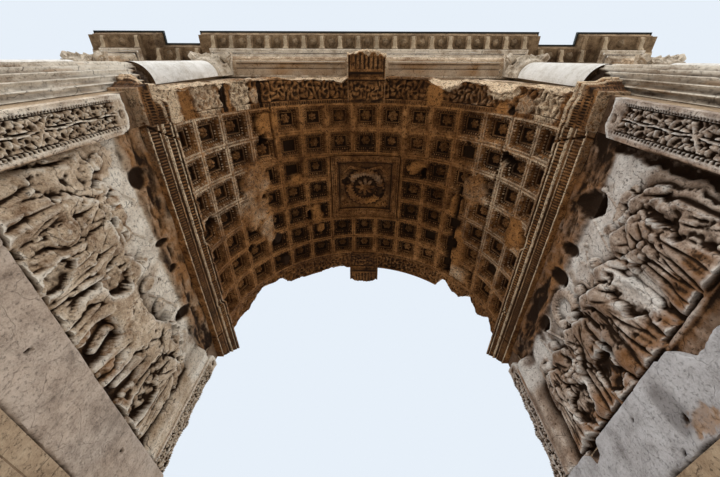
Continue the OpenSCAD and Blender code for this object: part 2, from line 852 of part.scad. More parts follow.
frame_out = 60;
module window_frames_front() {
    w = window_w + 2 * frame_w;
    h = window_h + 2 * frame_w;
    color(pale) pair_x() difference() {
        union() {
            translate([window_x - w / 2, -wall_y - frame_out, window_z - frame_w])
                cube([w, frame_out, h]);
            // Sill and head
            for (z = [window_z - frame_w - 110, window_z + window_h + frame_w])
                translate([window_x - w / 2 - 90, -wall_y - frame_out - 60, z])
                    cube([w + 180, frame_out + 60, 110]);
        }
        translate([window_x - window_w / 2, -wall_y - frame_out - cut, window_z])
            cube([window_w, frame_out + 2 * cut, window_h]);
        translate([window_x - window_w / 2 - frame_w / 2, -wall_y - frame_out - cut,
                   window_z - frame_w / 2])
            cube([window_w + frame_w, 25 + cut, window_h + frame_w]);
    }
}
module window_frames_back() {
    on_back() window_frames_front();
}

podium_left();
podium_right();
pier_left();
pier_right();
dado_left();
dado_right();
relief_panel_left();
relief_panel_right();
jamb_strips_left();
jamb_strips_right();
impost_left();
impost_right();
haunch_left();
haunch_right();
vault_barrel();
vault_coffering();
crown_panel();
arch_ring_front();
arch_ring_back();
keystone_front();
keystone_back();
spandrels_front();
spandrels_back();
column_bases();
inner_shafts_front();
inner_shafts_back();
corner_shafts_front();
corner_shafts_back();
capitals_front();
capitals_back();
architrave();
frieze();
cornice_bed();
modillions();
cornice();
cornice_lead();
attic_foot();
attic_body();
inscription_panel_front();
inscription_panel_back();
attic_cornice();
attic_roof();
window_frames_front();
window_frames_back();
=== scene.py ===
# %% [markdown]
# # A weathered marble arch, dressed on its frame
# The frame holds the arch's plain blocks: piers, vault, columns and beams. This script
# carves them. Most of the arch is low relief on a flat or curved stone, so most pieces
# here are grids of points, pushed in and out by formulas, as a mason sinks a panel.

from itertools import product
from math import cos, hypot, pi, radians, sin, sqrt, tau

import bpy
import numpy as np
from mathutils import Matrix, Vector


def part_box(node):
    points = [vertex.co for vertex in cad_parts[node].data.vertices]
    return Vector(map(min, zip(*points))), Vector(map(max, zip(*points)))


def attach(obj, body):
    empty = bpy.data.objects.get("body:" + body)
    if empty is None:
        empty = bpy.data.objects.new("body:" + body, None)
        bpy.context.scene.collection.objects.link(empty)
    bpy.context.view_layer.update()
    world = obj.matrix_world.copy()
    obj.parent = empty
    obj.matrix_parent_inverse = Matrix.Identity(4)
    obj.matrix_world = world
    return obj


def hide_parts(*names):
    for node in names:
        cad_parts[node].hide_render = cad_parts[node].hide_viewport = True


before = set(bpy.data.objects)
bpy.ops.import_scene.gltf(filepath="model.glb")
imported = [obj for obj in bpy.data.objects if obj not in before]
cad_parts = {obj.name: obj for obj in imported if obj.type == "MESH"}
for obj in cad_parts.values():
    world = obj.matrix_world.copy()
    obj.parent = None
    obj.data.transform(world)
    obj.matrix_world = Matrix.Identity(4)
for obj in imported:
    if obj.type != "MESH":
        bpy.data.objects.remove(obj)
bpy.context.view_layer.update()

# %% [markdown]
# ## Measures
# Every carved piece sits where its block sits, so the main sizes are read from the
# frame: the passage's half width, the springing line, the wall and ring planes and
# the heights of the courses. Lengths are metres.

# %% Read the main sizes
passage_r = -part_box("dado_left")[1].x
spring_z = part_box("impost_left")[1].z
impost_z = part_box("impost_left")[0].z
wall_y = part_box("pier_left")[1].y
ring_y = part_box("arch_ring_back")[1].y
lining_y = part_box("vault_coffering")[1].y
ring_r = -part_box("arch_ring_back")[0].x
dado_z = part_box("dado_left")[1].z
podium_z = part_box("podium_left")[1].z
strip_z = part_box("jamb_strips_left")[1].z
field_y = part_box("relief_panel_left")[1].y
slab_x = -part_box("relief_panel_left")[1].x
slab_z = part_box("relief_panel_left")[1].z
beam_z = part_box("architrave")[0].z
shaft_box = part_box("inner_shafts_front")
shaft_foot, shaft_top = shaft_box[0].z, shaft_box[1].z
foot_r, neck_r = -wall_y - shaft_box[0].y, 0.282
shaft_x = shaft_box[1].x - foot_r
# Faces that would lie in one plane are kept this far apart
hair = 0.002
coffer_step = radians(11.72)
coffer_cols, coffer_rows = 15, 7
row_step = 2 * lining_y / coffer_rows


def radius_at(z):
    """The radius of a column's shaft at a height."""
    return foot_r - (foot_r - neck_r) * (z - shaft_foot) / (shaft_top - shaft_foot)


print("passage", round(passage_r, 3), "springing", round(spring_z, 3), "shafts at", round(shaft_x, 3))

# %% [markdown]
# ## Camera
# The photograph looks steeply up from the mouth of the passage with a wide lens. Its
# place and tilt come from the straight lines of the cornice and the coffer grid.

# %% Camera
photo_w = 720
focal_px = 307.0
eye = Vector((0.045, -2.681, 1.398))
ahead = Vector((-0.0196, 0.5105, 0.8596)).normalized()
level = Vector((0.9997, -0.0045, 0.0255))
level = (level - level.dot(ahead) * ahead).normalized()
camera_data = bpy.data.cameras.new("camera")
camera_data.sensor_width = 36
camera_data.lens = camera_data.sensor_width * focal_px / photo_w
camera_data.clip_start, camera_data.clip_end = 0.05, 200
camera = bpy.data.objects.new("camera", camera_data)
bpy.context.scene.collection.objects.link(camera)
turn = Matrix((level, level.cross(ahead), -ahead)).transposed()
camera.matrix_world = Matrix.Translation(eye) @ turn.to_4x4()
bpy.context.scene.camera = camera
print("lens", round(camera_data.lens, 2), "mm")

# %% [markdown]
# ## Shader maths
# A finish is a tree of nodes, which is easier to read as arithmetic. A `Wire` is one
# output in that tree, and adding or multiplying wires adds the Math nodes. A `Finish`
# is one material, whose `node` method makes every other kind of node.

# %% Wire and Finish
class Wire:
    """One output of a material's node, usable in sums and products."""

    def __init__(self, finish, node, output=0):
        self.finish, self.node = finish, node
        self.socket = node.outputs[output] if node.outputs else None

    def out(self, name):
        return Wire(self.finish, self.node, name)

    def maths(self, operation, *values):
        return self.finish.node("ShaderNodeMath", {"operation": operation}, dict(enumerate(values)))

    def __add__(self, other):
        return self.maths("ADD", self, other)

    def __sub__(self, other):
        return self.maths("SUBTRACT", self, other)

    def __rsub__(self, other):
        return self.maths("SUBTRACT", other, self)

    def __mul__(self, other):
        return self.maths("MULTIPLY", self, other)

    __radd__, __rmul__ = __add__, __mul__

    def within(self, low, high):
        """0 below low, 1 above high, and a smooth rise between them."""
        return self.finish.node("ShaderNodeMapRange", {"interpolation_type": "SMOOTHSTEP"},
                                {"Value": self, "From Min": low, "From Max": high})


class Finish:
    """The nodes of one material, or of the world."""

    def __init__(self, owner):
        owner.use_nodes = True
        self.material, self.tree = owner, owner.node_tree
        self.tree.nodes.clear()

    def node(self, kind, settings=None, values=None):
        """A node of one kind: its settings come first, then what its sockets hold."""
        made = self.tree.nodes.new(kind)
        for name, value in (settings or {}).items():
            if name == "stops":
                ramp = made.color_ramp
                while len(ramp.elements) < len(value):
                    ramp.elements.new(0.5)
                for element, (place, colour) in zip(ramp.elements, value):
                    element.position, element.color = place, (*colour, 1)
            else:
                setattr(made, name, value)
        for name, value in (values or {}).items():
            if isinstance(value, Wire):
                self.tree.links.new(value.socket, made.inputs[name])
            else:
                made.inputs[name].default_value = value
        return Wire(self, made)

    def mix(self, amount, first, second):
        """first where amount is 0 and second where it is 1, for colours."""
        colour = lambda c: c if isinstance(c, Wire) else (*c, 1)
        made = self.node("ShaderNodeMix", {"data_type": "RGBA"},
                         {0: amount, 6: colour(first), 7: colour(second)})
        return made.out(2)

    def noise(self, place, size, detail=3, roughness=0.55):
        """Cloudy noise whose features are about size metres across."""
        return self.node("ShaderNodeTexNoise", {}, {"Vector": place, "Scale": 1 / size,
                                                    "Detail": detail, "Roughness": roughness})

    def courses(self, place):
        """Coordinates for joints that read as level courses on every upright face."""
        parts = self.node("ShaderNodeSeparateXYZ", {}, {"Vector": place})
        round_walls = parts.out("X") + parts.out("Y")
        return self.node("ShaderNodeCombineXYZ", {}, {"X": round_walls, "Y": parts.out("Z")})

    def marked(self, name):
        """What the grid's own points say about themselves, such as how much soot and painted shade they carry."""
        return self.node("ShaderNodeAttribute", {"attribute_name": name}).out("Fac")


print("shader maths ready")

# %% [markdown]
# ## Stone
# All of the arch is stone, and it differs in shade, dirt and finish. One recipe makes
# them all: three shades in clouds, dark streaks that rain draws down the face, fine
# grain, pits, and three marks that a carved grid can carry: soot and painted shade in
# its hollows, pale fresh breaks and painted highlights, and ochre crust. Joints between
# blocks are drawn where a wall has them.

# %% The stone recipe
soot_and_shade_colour = (0.022, 0.011, 0.005)


def stone(name, light, middle, deep, streaks=0.35, speckle=0.6, joints=None,
          ochre=(0.36, 0.19, 0.07), fresh=(0.62, 0.54, 0.43), cracks=0.7, mottle=0.0):
    """A stone in three shades; streaks, speckle (pits), cracks and mottle (blotches) are shares of 1."""
    made = Finish(bpy.data.materials.new(name))
    place = made.node("ShaderNodeTexCoord").out("Object")
    broad = made.noise(place, 1.1, 4)
    patchy = made.noise(place, 0.17, 4, 0.62)
    grain = made.noise(place, 0.016, 3, 0.7)
    tone = broad * 0.34 + patchy * 0.4 + grain * 0.26
    colour = made.node("ShaderNodeValToRGB",
                       {"stops": [(0.38, deep), (0.5, middle), (0.62, light)]}, {"Fac": tone})
    # Rain streaks are noise stretched along the height
    tall = made.node("ShaderNodeMapping", {}, {"Vector": place, "Scale": (1, 1, 0.12)})
    streak = made.noise(tall, 0.11, 3).within(0.52, 0.74) * broad.within(0.4, 0.6)
    colour = made.mix(streak * streaks, colour, deep)
    relief = patchy * 0.5 + grain * 0.35
    specks = made.noise(place, 0.055, 4, 0.8)
    if joints:
        row_h, block_l = joints
        brick = made.node("ShaderNodeTexBrick", {"offset": 0.5},
                          {"Vector": made.courses(place), "Scale": 1.0, "Mortar Size": 0.007,
                           "Mortar Smooth": 0.4, "Brick Width": block_l, "Row Height": row_h,
                           "Color1": (0.42, 0.42, 0.42, 1), "Color2": (0.58, 0.58, 0.58, 1)})
        seam = brick.out("Fac")
        block = made.node("ShaderNodeRGBToBW", {}, {"Color": brick.out("Color")})
        colour = made.mix(block.within(0.3, 0.7) * 0.5, colour, middle)
        colour = made.mix(seam * 0.75, colour, deep)
        relief = relief - seam * 0.9
    for mark, tint in (("ochre", ochre), ("fresh", fresh)):
        amount = made.marked(mark)
        wander = (patchy - 0.5) * 1.2 + (grain - 0.5) * 0.6 + (specks - 0.5) * (5 * mottle)
        colour = made.mix((amount + wander * amount).within(0.1, 1.1), colour, tint)
    # Pits as wide as a finger are black inside, and thin cracks wander over the face
    pitted = 1 - made.noise(place, 0.03, 5, 0.78).within(0.33, 0.47)
    bent = made.node("ShaderNodeVectorMath", {"operation": "MULTIPLY_ADD"},
                     {0: made.noise(place, 0.25, 3).out("Color"), 1: (0.25, 0.25, 0.25), 2: place})
    apart = made.node("ShaderNodeTexVoronoi", {"feature": "DISTANCE_TO_EDGE"}, {"Vector": bent, "Scale": 2.3})
    cracked = (1 - apart.within(0.002, 0.014)) * patchy.within(0.44, 0.56)
    dark = pitted * speckle
    colour = made.mix(specks.within(0.5, 0.6) * mottle, colour, deep)
    colour = made.mix(dark + (1 - dark) * cracked * cracks, colour, soot_and_shade_colour)
    # The soot mark darkens toward black: real soot, and painted shade where a grid marks its hollows
    amount = made.marked("soot")
    wander = (patchy - 0.5) * 0.9 + (grain - 0.5) * 0.9
    colour = made.mix((amount + wander * amount).within(0.08, 0.8), colour, soot_and_shade_colour)
    relief = relief - pitted * 0.45 - cracked * 0.5
    bump = made.node("ShaderNodeBump", {}, {"Strength": 0.7, "Distance": 0.014, "Height": relief})
    shader = made.node("ShaderNodeBsdfPrincipled", {},
                       {"Base Color": colour, "Roughness": 0.86, "Specular IOR Level": 0.12, "Normal": bump})
    made.node("ShaderNodeOutputMaterial", {}, {"Surface": shader})
    return made.material


print("stone recipe ready")

# %% [markdown]
# ## Carving tools
# A relief is a grid of points with a front and a back. `carved` joins the two into one
# closed stone, so that nothing is a loose sheet. `cloud` gives smooth random lumps for
# erosion, the same on each run, and `spread` says where a stain or a break lies.

# %% Closed blocks from grids
shelf = np.random.default_rng(79).uniform(-1, 1, (64, 64, 64))
count = {}


def cloud(place, size, seed=0, octaves=2):
    """Smooth random numbers from -1 to 1 at points, in lumps of about size metres."""
    total, weight = 0, 0
    for octave in range(octaves):
        spot = place / size * 2 ** octave + 17.3 * (seed + octave)
        cell = np.floor(spot).astype(int)
        step = spot - cell
        step = step * step * (3 - 2 * step)
        for corner in product((0, 1), repeat=3):
            k = (cell + corner) % 64
            share = np.prod(np.where(corner, step, 1 - step), axis=-1)
            total = total + 0.5 ** octave * share * shelf[k[..., 0], k[..., 1], k[..., 2]]
        weight += 0.5 ** octave
    return total / weight


def clamped(x):
    """x, kept between 0 and 1."""
    return np.clip(x, 0, 1)


def spread(u, v, patches, edge=0.3, wander=0):
    """1 inside any of the oval patches (centre, centre, half width, half height), else 0."""
    inside = np.zeros(np.broadcast(u, v).shape)
    for cu, cv, ru, rv in patches:
        far = np.hypot((u - cu) / ru, (v - cv) / rv) + wander
        inside = np.maximum(inside, clamped((1 + edge / 2 - far) / edge))
    return inside


def smooth(x, low, high):
    """0 below low, 1 above high, and a smooth rise between them."""
    t = clamped((x - low) / (high - low))
    return t * t * (3 - 2 * t)


def fade(x, low, high):
    """1 below low, 0 above high, and a smooth fall between them."""
    return 1 - smooth(x, low, high)


def blurred(grid, reach):
    """A grid's values averaged over a square of 2 * reach + 1 points."""
    for axis in (0, 1):
        padded = np.concatenate([np.repeat(np.take(grid, [0], axis), reach + 1, axis), grid,
                                 np.repeat(np.take(grid, [-1], axis), reach, axis)], axis)
        sums = np.cumsum(padded, axis)
        size = 2 * reach + 1
        grid = (np.take(sums, range(size, sums.shape[axis]), axis)
                - np.take(sums, range(sums.shape[axis] - size), axis)) / size
    return grid


def placed(name, points, faces, material, marks, corner=50):
    """A piece of the arch from points and faces, with its finish, riding on the frame."""
    mesh = bpy.data.meshes.new(name)
    mesh.from_pydata(points.tolist(), [], faces)
    for mark, values in marks.items():
        mesh.attributes.new(mark, "FLOAT", "POINT").data.foreach_set(
            "value", np.broadcast_to(values, len(points)).astype(np.float32))
    mesh.shade_smooth()
    mesh.set_sharp_from_angle(angle=radians(corner))
    mesh.materials.append(material)
    piece = bpy.data.objects.new(name, mesh)
    bpy.context.scene.collection.objects.link(piece)
    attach(piece, "root")
    count[name] = sum(len(face) - 2 for face in faces)
    print(name, count[name], "triangles")
    return piece


def walled(front, back, **marks):
    """A closed stone: a carved grid in front, its rim joined to the rim of the back grid."""
    rows, cols = front.shape[:2]
    at = np.arange(rows * cols).reshape(rows, cols)
    quads = np.stack([at[:-1, :-1], at[:-1, 1:], at[1:, 1:], at[1:, :-1]], -1).reshape(-1, 4)
    rim = np.concatenate([at[0, :-1], at[:-1, -1], at[-1, :0:-1], at[:0:-1, 0]])
    behind = rows * cols + np.arange(len(rim))
    sides = np.stack([np.roll(rim, -1), rim, behind, np.roll(behind, -1)], -1)
    low = behind[:cols]
    high = behind[cols + rows - 2:2 * cols + rows - 2][::-1]
    right, left = behind[cols:cols + rows - 2][::-1], behind[2 * cols + rows - 2:][::-1]
    plates = [[low[k], high[k], high[k + 1], low[k + 1]] for k in range(cols - 1)]
    plates[0] = [low[0], *left, high[0], high[1], low[1]]
    plates[-1] = plates[-1][:3] + [*right, low[-1]]
    faces = quads.tolist() + sides.tolist() + [[int(k) for k in plate] for plate in plates]
    points = np.concatenate([front.reshape(-1, 3), back.reshape(-1, 3)[rim]])
    i, j = rows // 2, cols // 2
    across, up = front[i, j + 1] - front[i, j], front[i + 1, j] - front[i, j]
    if np.dot(np.cross(across, up), front[i, j] - back[i, j]) < 0:
        faces = [face[::-1] for face in faces]
    marks = {mark: np.broadcast_to(values, (rows, cols)).ravel() for mark, values in marks.items()}
    return points, faces, {mark: np.concatenate([values, values[rim]]) for mark, values in marks.items()}


def joined(name, blocks, material):
    """Several closed stones as one piece."""
    first = np.cumsum([0] + [len(points) for points, _, _ in blocks])
    faces = [[k + step for k in face] for step, block in zip(first, blocks) for face in block[1]]
    marks = {mark: np.concatenate([block[2][mark] for block in blocks]) for mark in blocks[0][2]}
    return placed(name, np.concatenate([block[0] for block in blocks]), faces, material, marks)


def carved(name, front, back, material, slot="carved_marble", **marks):
    """One closed stone as a piece."""
    return joined(name, [walled(front, back, **marks)], material)


def strewn(name, shape, origins, axes, material, slot, **marks):
    """Many copies of one small shape as one piece: where each stands, and its three axes."""
    corners, faces = shape
    number = len(origins)
    points = np.array(origins)[:, None, :] + np.einsum("kc,ncd->nkd", corners, np.array(axes))
    steps = np.arange(number) * len(corners)
    every = [[int(k + step) for k in face] for step in steps for face in faces]
    marks = {mark: np.repeat(np.broadcast_to(values, number), len(corners))
             for mark, values in marks.items()}
    return placed(name, points.reshape(-1, 3), every, material, marks, 80)


print("carving tools ready")

# %% [markdown]
# ## Finishes
# The vault and imposts are brown with centuries of grime, the reliefs are warm beige,
# the repaired parts are nearly white, and the cornice is tan under a lead sheet.

# %% Finishes of the arch
grimy = stone("grimy_vault", (0.5, 0.255, 0.1), (0.22, 0.098, 0.032), (0.05, 0.019, 0.006), speckle=0.8,
              ochre=(0.44, 0.2, 0.06), fresh=(0.78, 0.62, 0.43), cracks=0.4, mottle=0.85)
beige = stone("carved_beige", (0.84, 0.72, 0.57), (0.52, 0.4, 0.28), (0.17, 0.095, 0.05), speckle=0.85,
              ochre=(0.3, 0.145, 0.055), fresh=(0.82, 0.76, 0.66), mottle=0.25)
tan = stone("wall_tan", (0.58, 0.46, 0.325), (0.42, 0.31, 0.205), (0.19, 0.12, 0.07), joints=(0.62, 1.45))
plain_tan = stone("cornice_tan", (0.42, 0.31, 0.195), (0.24, 0.165, 0.098), (0.07, 0.042, 0.024), 0.7,
                  fresh=(0.6, 0.49, 0.35), cracks=0.4, mottle=0.3)
repaired = stone("repaired_white", (0.84, 0.83, 0.81), (0.72, 0.705, 0.67), (0.46, 0.42, 0.36), 0.3, 0.15,
                 cracks=0.2)
repaired_wall = stone("repaired_wall", (0.72, 0.67, 0.58), (0.59, 0.53, 0.44), (0.36, 0.29, 0.21),
                      0.5, 0.25, joints=(0.55, 1.6), cracks=0.2)
dusty = stone("carved_grey_beige", (0.76, 0.66, 0.57), (0.41, 0.315, 0.245), (0.115, 0.065, 0.04), speckle=0.85,
              ochre=(0.29, 0.135, 0.05), fresh=(0.8, 0.77, 0.73), mottle=0.3)
cream = stone("old_cream", (0.76, 0.68, 0.57), (0.55, 0.475, 0.38), (0.22, 0.155, 0.1), speckle=0.5,
              fresh=(0.8, 0.75, 0.66))
washed = stone("rain_washed", (0.8, 0.74, 0.66), (0.58, 0.52, 0.44), (0.26, 0.2, 0.15), 0.2, 0.3,
               fresh=(0.9, 0.88, 0.84), cracks=0.2)
mauve = stone("left_dado_stone", (0.58, 0.46, 0.365), (0.43, 0.335, 0.26), (0.19, 0.14, 0.105), speckle=0.4,
              fresh=(0.6, 0.51, 0.43), cracks=0.25, mottle=0.15)
cool = stone("right_dado_stone", (0.56, 0.55, 0.56), (0.41, 0.395, 0.4), (0.17, 0.155, 0.15), speckle=0.35,
             fresh=(0.64, 0.64, 0.66), cracks=0.25, mottle=0.12)
print("finishes", len(bpy.data.materials))

# %% [markdown]
# ## The coffered vault
# The passage's ceiling is one curved slab with 15 by 7 sunk squares. Each coffer steps
# down twice through a moulding to a fillet and then to its floor, so its depth depends
# only on how far a point is from the coffer's edge. Grid lines are drawn just where the
# steps are, which keeps the mouldings sharp with few faces. Where the carving is lost,
# the depth fades to a rough hollow.

# %% Places on the vault
def xyz(x, y, z):
    """Points from their coordinates, each a grid or one number."""
    return np.stack(np.broadcast_arrays(x, y, z), -1)


def on_vault(angle, y, depth=0):
    """The point at an angle from the crown, a place along the passage and a depth in the stone."""
    r = passage_r + depth
    return xyz(r * np.sin(angle), y, spring_z + r * np.cos(angle))


lost_pale = [(-56, 0.12, 8, 0.36), (-53.5, -0.5, 6.5, 0.42), (-51, 0.62, 4.5, 0.34), (53.5, -0.38, 6, 0.3),
             (54, 1.75, 5.5, 0.3)]
lost_ochre = [(51.5, 1.15, 4, 0.42), (50, 0.75, 2.4, 0.2), (-44.5, -1.56, 5, 0.22), (-33.5, -0.33, 2.6, 0.11),
              (-25, 0.62, 3, 0.28), (-23, 1.02, 2.6, 0.15), (26, -0.6, 4.5, 0.13), (23, -0.5, 3, 0.11),
              (46, 0.1, 3, 0.3), (78, 0.0, 4.5, 0.3)]
lost_dark = [(-47, 0.95, 2.0, 0.16), (-44, 1.62, 2.2, 0.14)]
vault_holes = [(-62.3, 0.92, 1.9, 0.12), (-29, 0.64, 1.5, 0.17), (-47.3, -1.27, 1.8, 0.13),
               (-80.5, -0.15, 2.8, 0.11), (28.5, -0.42, 1.8, 0.13), (65, -1.17, 2.4, 0.11),
               (48.3, 1.0, 1.9, 0.13), (-50.5, -0.13, 1.1, 0.05), (-82, 1.5, 2, 0.1)]


def vault_decay(angle, y):
    """Lost carving, holes, cracks and the three stains at places on the vault."""
    a = np.degrees(angle)
    spot = on_vault(angle, y)
    waver = cloud(spot, 0.16, 1, 3) * 0.45
    pale, rust, dark = (spread(a, y, patches, 0.16, waver) for patches in (lost_pale, lost_ochre, lost_dark))
    holes = spread(a, y, vault_holes, 0.25, cloud(spot, 0.09, 2) * 0.5)
    bend = cloud(spot, 0.5, 3)
    gap = 0.35 + 1.5 * smooth(y, 0.2, 1.9)
    crack = fade(abs(a - 46.8 - bend), gap * 0.6, gap * 1.3) * smooth(y, -1.5, -1.1)
    for where, low, high in ((62.5, -1.4, 2.1), (-42.8, -1.9, -0.8)):
        thin = fade(abs(a - where - bend * 0.6), 0.12, 0.4) * smooth(y, low, low + 0.1)
        crack = np.maximum(crack, thin * fade(y, high - 0.1, high) * 0.6)
    return pale, rust, dark, holes, crack


def vault_stains_and_light(angle, y, depth, ridge=0.0):
    """Soot, fresh and ochre marks, from where a point is, how deep it lies, and if it is a ridge: depth adds
    painted shade and ridges get painted highlights.
    """
    a = np.degrees(angle)
    spot = on_vault(angle, y)
    pale, rust, dark, holes, crack = vault_decay(angle, y)
    waver = cloud(spot, 0.2, 10, 4) * 0.8
    pale_tint, rust_tint = (spread(a, y, patches, 0.7, waver) for patches in (lost_pale, lost_ochre))
    lumps = cloud(spot, 0.55, 5, 3)
    # Soot grows with depth as painted shade, is heavier over the middle of the vault and in cloudy lumps, and
    # ridges lose it
    grime_and_shade = 0.16 + 0.32 * spread(a, y, [(-5, 0.5, 44, 1.4)], 0.7) + 0.4 * lumps + 0.62 * smooth(depth, 0.02, 0.13)
    grime_and_shade = (grime_and_shade - 0.6 * ridge) * (1 - 0.85 * np.maximum(pale, rust)) + dark * 0.3
    # Ridges get a painted highlight, stronger on the low sides, where the shallow stone is paler too
    near_side = spread(a, y, [(-80, -1.2, 26, 1.3), (74, -0.6, 24, 1.8)], 0.9)
    fresh = (0.2 + 0.42 * near_side) * ridge + 0.3 * near_side * fade(depth, 0.0, 0.07)
    fresh = np.maximum(pale_tint * (0.4 + 0.5 * lumps), fresh * (0.8 + 0.5 * lumps))
    ochre = np.maximum(rust_tint * 0.75, 0.5 * smooth(cloud(spot, 0.33, 6, 3), 0.1, 0.6))
    # Ridges away from the low sides get an ochre painted highlight
    ochre = np.maximum(ochre, 0.7 * ridge * (1 - near_side) * (0.8 + 0.6 * lumps))
    return dict(soot=clamped(np.maximum(grime_and_shade, np.maximum(holes, crack))),
                fresh=np.clip(fresh, 0, 0.9), ochre=clamped(ochre))


print("lost patches", len(lost_pale + lost_ochre + lost_dark), "holes", len(vault_holes))

# %% [markdown]
# The marks are distances from a coffer's edge to its middle. The rib comes first, then
# two mouldings, the fillet round the floor, and the floor itself.

# %% Carve the vault
def across(cell, number):
    """Grid lines over a row of cells, close together where the mouldings are."""
    half = [m for m in moulding_marks if m < cell / 2 - 0.01] + [cell / 2]
    one = np.array(half + [cell - m for m in half[-2:0:-1]])
    return np.concatenate([one + k * cell for k in range(number)] + [[cell * number]]) - cell * number / 2


def from_ribs(place, cell):
    """How far places along a row of cells are from the nearest cell's edge."""
    return cell / 2 - abs((place / cell + 0.5) % 1 - 0.5) * cell


moulding_marks = [0, 0.018, 0.038, 0.046, 0.064, 0.084, 0.092, 0.117, 0.129, 0.133, 0.149, 0.155, 0.2]
moulding_depths = [0.013, 0, 0.002, 0.022, 0.036, 0.06, 0.074, 0.098, 0.124, 0.112, 0.112, 0.176, 0.181]
floor_depth, under_panel_depth, vault_back = 0.176, 0.21, 0.27
cell_a = coffer_step * passage_r
arc = across(cell_a, coffer_cols)
arc = np.concatenate([[-passage_r * pi / 2], arc, [passage_r * pi / 2]])
arc_grid, y_grid = np.meshgrid(arc, across(row_step, coffer_rows))
from_edge = np.minimum(from_ribs(arc_grid, cell_a), from_ribs(y_grid, row_step))
from_edge[abs(arc_grid) > cell_a * coffer_cols / 2 + 0.001] = 0
angle_grid = arc_grid / passage_r
spot = on_vault(angle_grid, y_grid)
pale, rust, dark, holes, crack = vault_decay(angle_grid, y_grid)
lost = clamped(pale + rust + dark)
worn = np.clip(0.12 + 0.3 * cloud(spot, 0.4, 9, 2), 0, 0.5)
depth = np.interp(from_edge, moulding_marks, moulding_depths)
depth = depth * (1 - 0.35 * worn)
depth = depth * (1 - lost) + lost * (0.035 + 0.02 * cloud(spot, 0.12, 4, 3))
depth = np.maximum(depth + 0.004 * cloud(spot, 0.06, 7, 2), 0)
depth = np.maximum(depth, np.maximum(holes * 0.24, crack * 0.2))
crown_a, crown_y = 1.5 * cell_a, 1.5 * row_step
under_panel = (abs(arc_grid) < crown_a - 0.03) & (abs(y_grid) < crown_y - 0.03)
depth[under_panel] = under_panel_depth
# How far each line of the mouldings stands out as a ridge, for painted highlights
ridges = np.interp(from_edge, [0.008, 0.018, 0.04, 0.046, 0.128, 0.132, 0.15, 0.154],
                   [0.2, 0.9, 0.9, 0.0, 0.0, 0.65, 0.65, 0.0]) * (1 - lost)
vault = carved("coffered_vault", on_vault(angle_grid, y_grid, depth), on_vault(angle_grid, y_grid, vault_back),
               grimy, "weathered_marble", **vault_stains_and_light(angle_grid, y_grid, depth, ridges))
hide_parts("vault_coffering")

# %% [markdown]
# ## Eggs and rosettes
# Rows of eggs run round each coffer's two mouldings, and a flower fills its floor. They
# are small domes and small petalled discs, strewn by the thousand as single pieces.
# Some are missing, as on the old vault.

# %% Small shapes
def dome(sides, rise=0.55):
    """A low-sided dome of radius 1 and height 1, sunk a little below its foot."""
    turns = np.arange(sides) * 2 * pi / sides
    ring = xyz(np.cos(turns), np.sin(turns), 0)
    points = np.concatenate([ring + (0, 0, -0.25), ring * (0.82, 0.82, 1) + (0, 0, rise), [[0, 0, 1]]])
    faces = [[k, (k + 1) % sides, sides + (k + 1) % sides, sides + k] for k in range(sides)]
    faces += [[sides + k, sides + (k + 1) % sides, 2 * sides] for k in range(sides)]
    return points, faces + [list(range(sides))[::-1]]


def flower(petals, rings=(0.28, 0.55, 0.8, 1.0), per_petal=4):
    """A rosette of radius 1: petals that rise from the middle and curl at the tips."""
    n = petals * per_petal
    turns = np.arange(n) * 2 * pi / n
    lobe = abs(np.cos(turns * petals / 2))
    points = [[0, 0, 0.75]]
    for r in rings:
        reach = r * (1 - 0.28 * (1 - lobe) * smooth(r, 0.3, 1))
        height = 0.62 * sin(pi * min(r * 0.9 + 0.12, 1)) * (0.35 + 0.65 * lobe) + 0.04
        points += list(xyz(reach * np.cos(turns), reach * np.sin(turns), height))
    points += list(xyz(0.8 * np.cos(turns), 0.8 * np.sin(turns), -0.15))
    faces = [[0, 1 + k, 1 + (k + 1) % n] for k in range(n)]
    for ring in range(len(rings)):
        a, b = 1 + ring * n, 1 + (ring + 1) * n
        faces += [[a + k, b + k, b + (k + 1) % n, a + (k + 1) % n] for k in range(n)]
    last = 1 + len(rings) * n
    return np.array(points), faces + [[last + k for k in range(n)][::-1]]


print("dome and flower ready")

# %% Strew the vault with eggs and rosettes
def vault_ways(angle):
    """The directions down from the vault and round it at an angle."""
    return -xyz(np.sin(angle), 0, np.cos(angle)), xyz(np.cos(angle), 0, -np.sin(angle))


chance = np.random.default_rng(15)
egg_rows = ((0.063, 0.028, 9, 0.02), (0.107, 0.086, 7, 0.0175))
eggs, flowers = [], []
for i in range(-7, 8):
    for j in range(-3, 4):
        if abs(i) <= 1 and abs(j) <= 1:
            continue
        middle_a, middle_y = i * coffer_step, j * row_step
        pale, rust, dark, holes, crack = vault_decay(np.array(middle_a), np.array(middle_y))
        if max(pale, rust, dark, holes, crack) < 0.4 and chance.random() < 0.93:
            flowers.append((middle_a, middle_y, chance.uniform(0, 6.28), chance.uniform(0.088, 0.118),
                            chance.uniform(0.07, 0.11)))
        for in_from_edge, deep, each, size in egg_rows:
            half_a, half_y = cell_a / 2 - in_from_edge, row_step / 2 - in_from_edge
            for k in range(each):
                slide = (2 * k + 1) / each - 1
                for side_a, side_y in ((1, 0), (-1, 0), (0, 1), (0, -1)):
                    a = middle_a + (side_a + (1 - abs(side_a)) * slide) * half_a / passage_r
                    y = middle_y + (side_y + (1 - abs(side_y)) * slide) * half_y
                    eggs.append((a, y, deep, -side_a, -side_y, size))
eggs = np.array(eggs)
a, y = eggs[:, :2].T
decay = np.max(vault_decay(a, y), axis=0)
keep = (decay < 0.35) & (chance.random(len(a)) < 0.9)
a, y, deep, in_a, in_y, size = eggs[keep].T
out, round_way = vault_ways(a)
inward = round_way * in_a[:, None] + xyz(0, in_y, 0)
sideways = np.cross(out, inward)
lean = (out + inward) / sqrt(2)
slope = (inward - out) / sqrt(2)
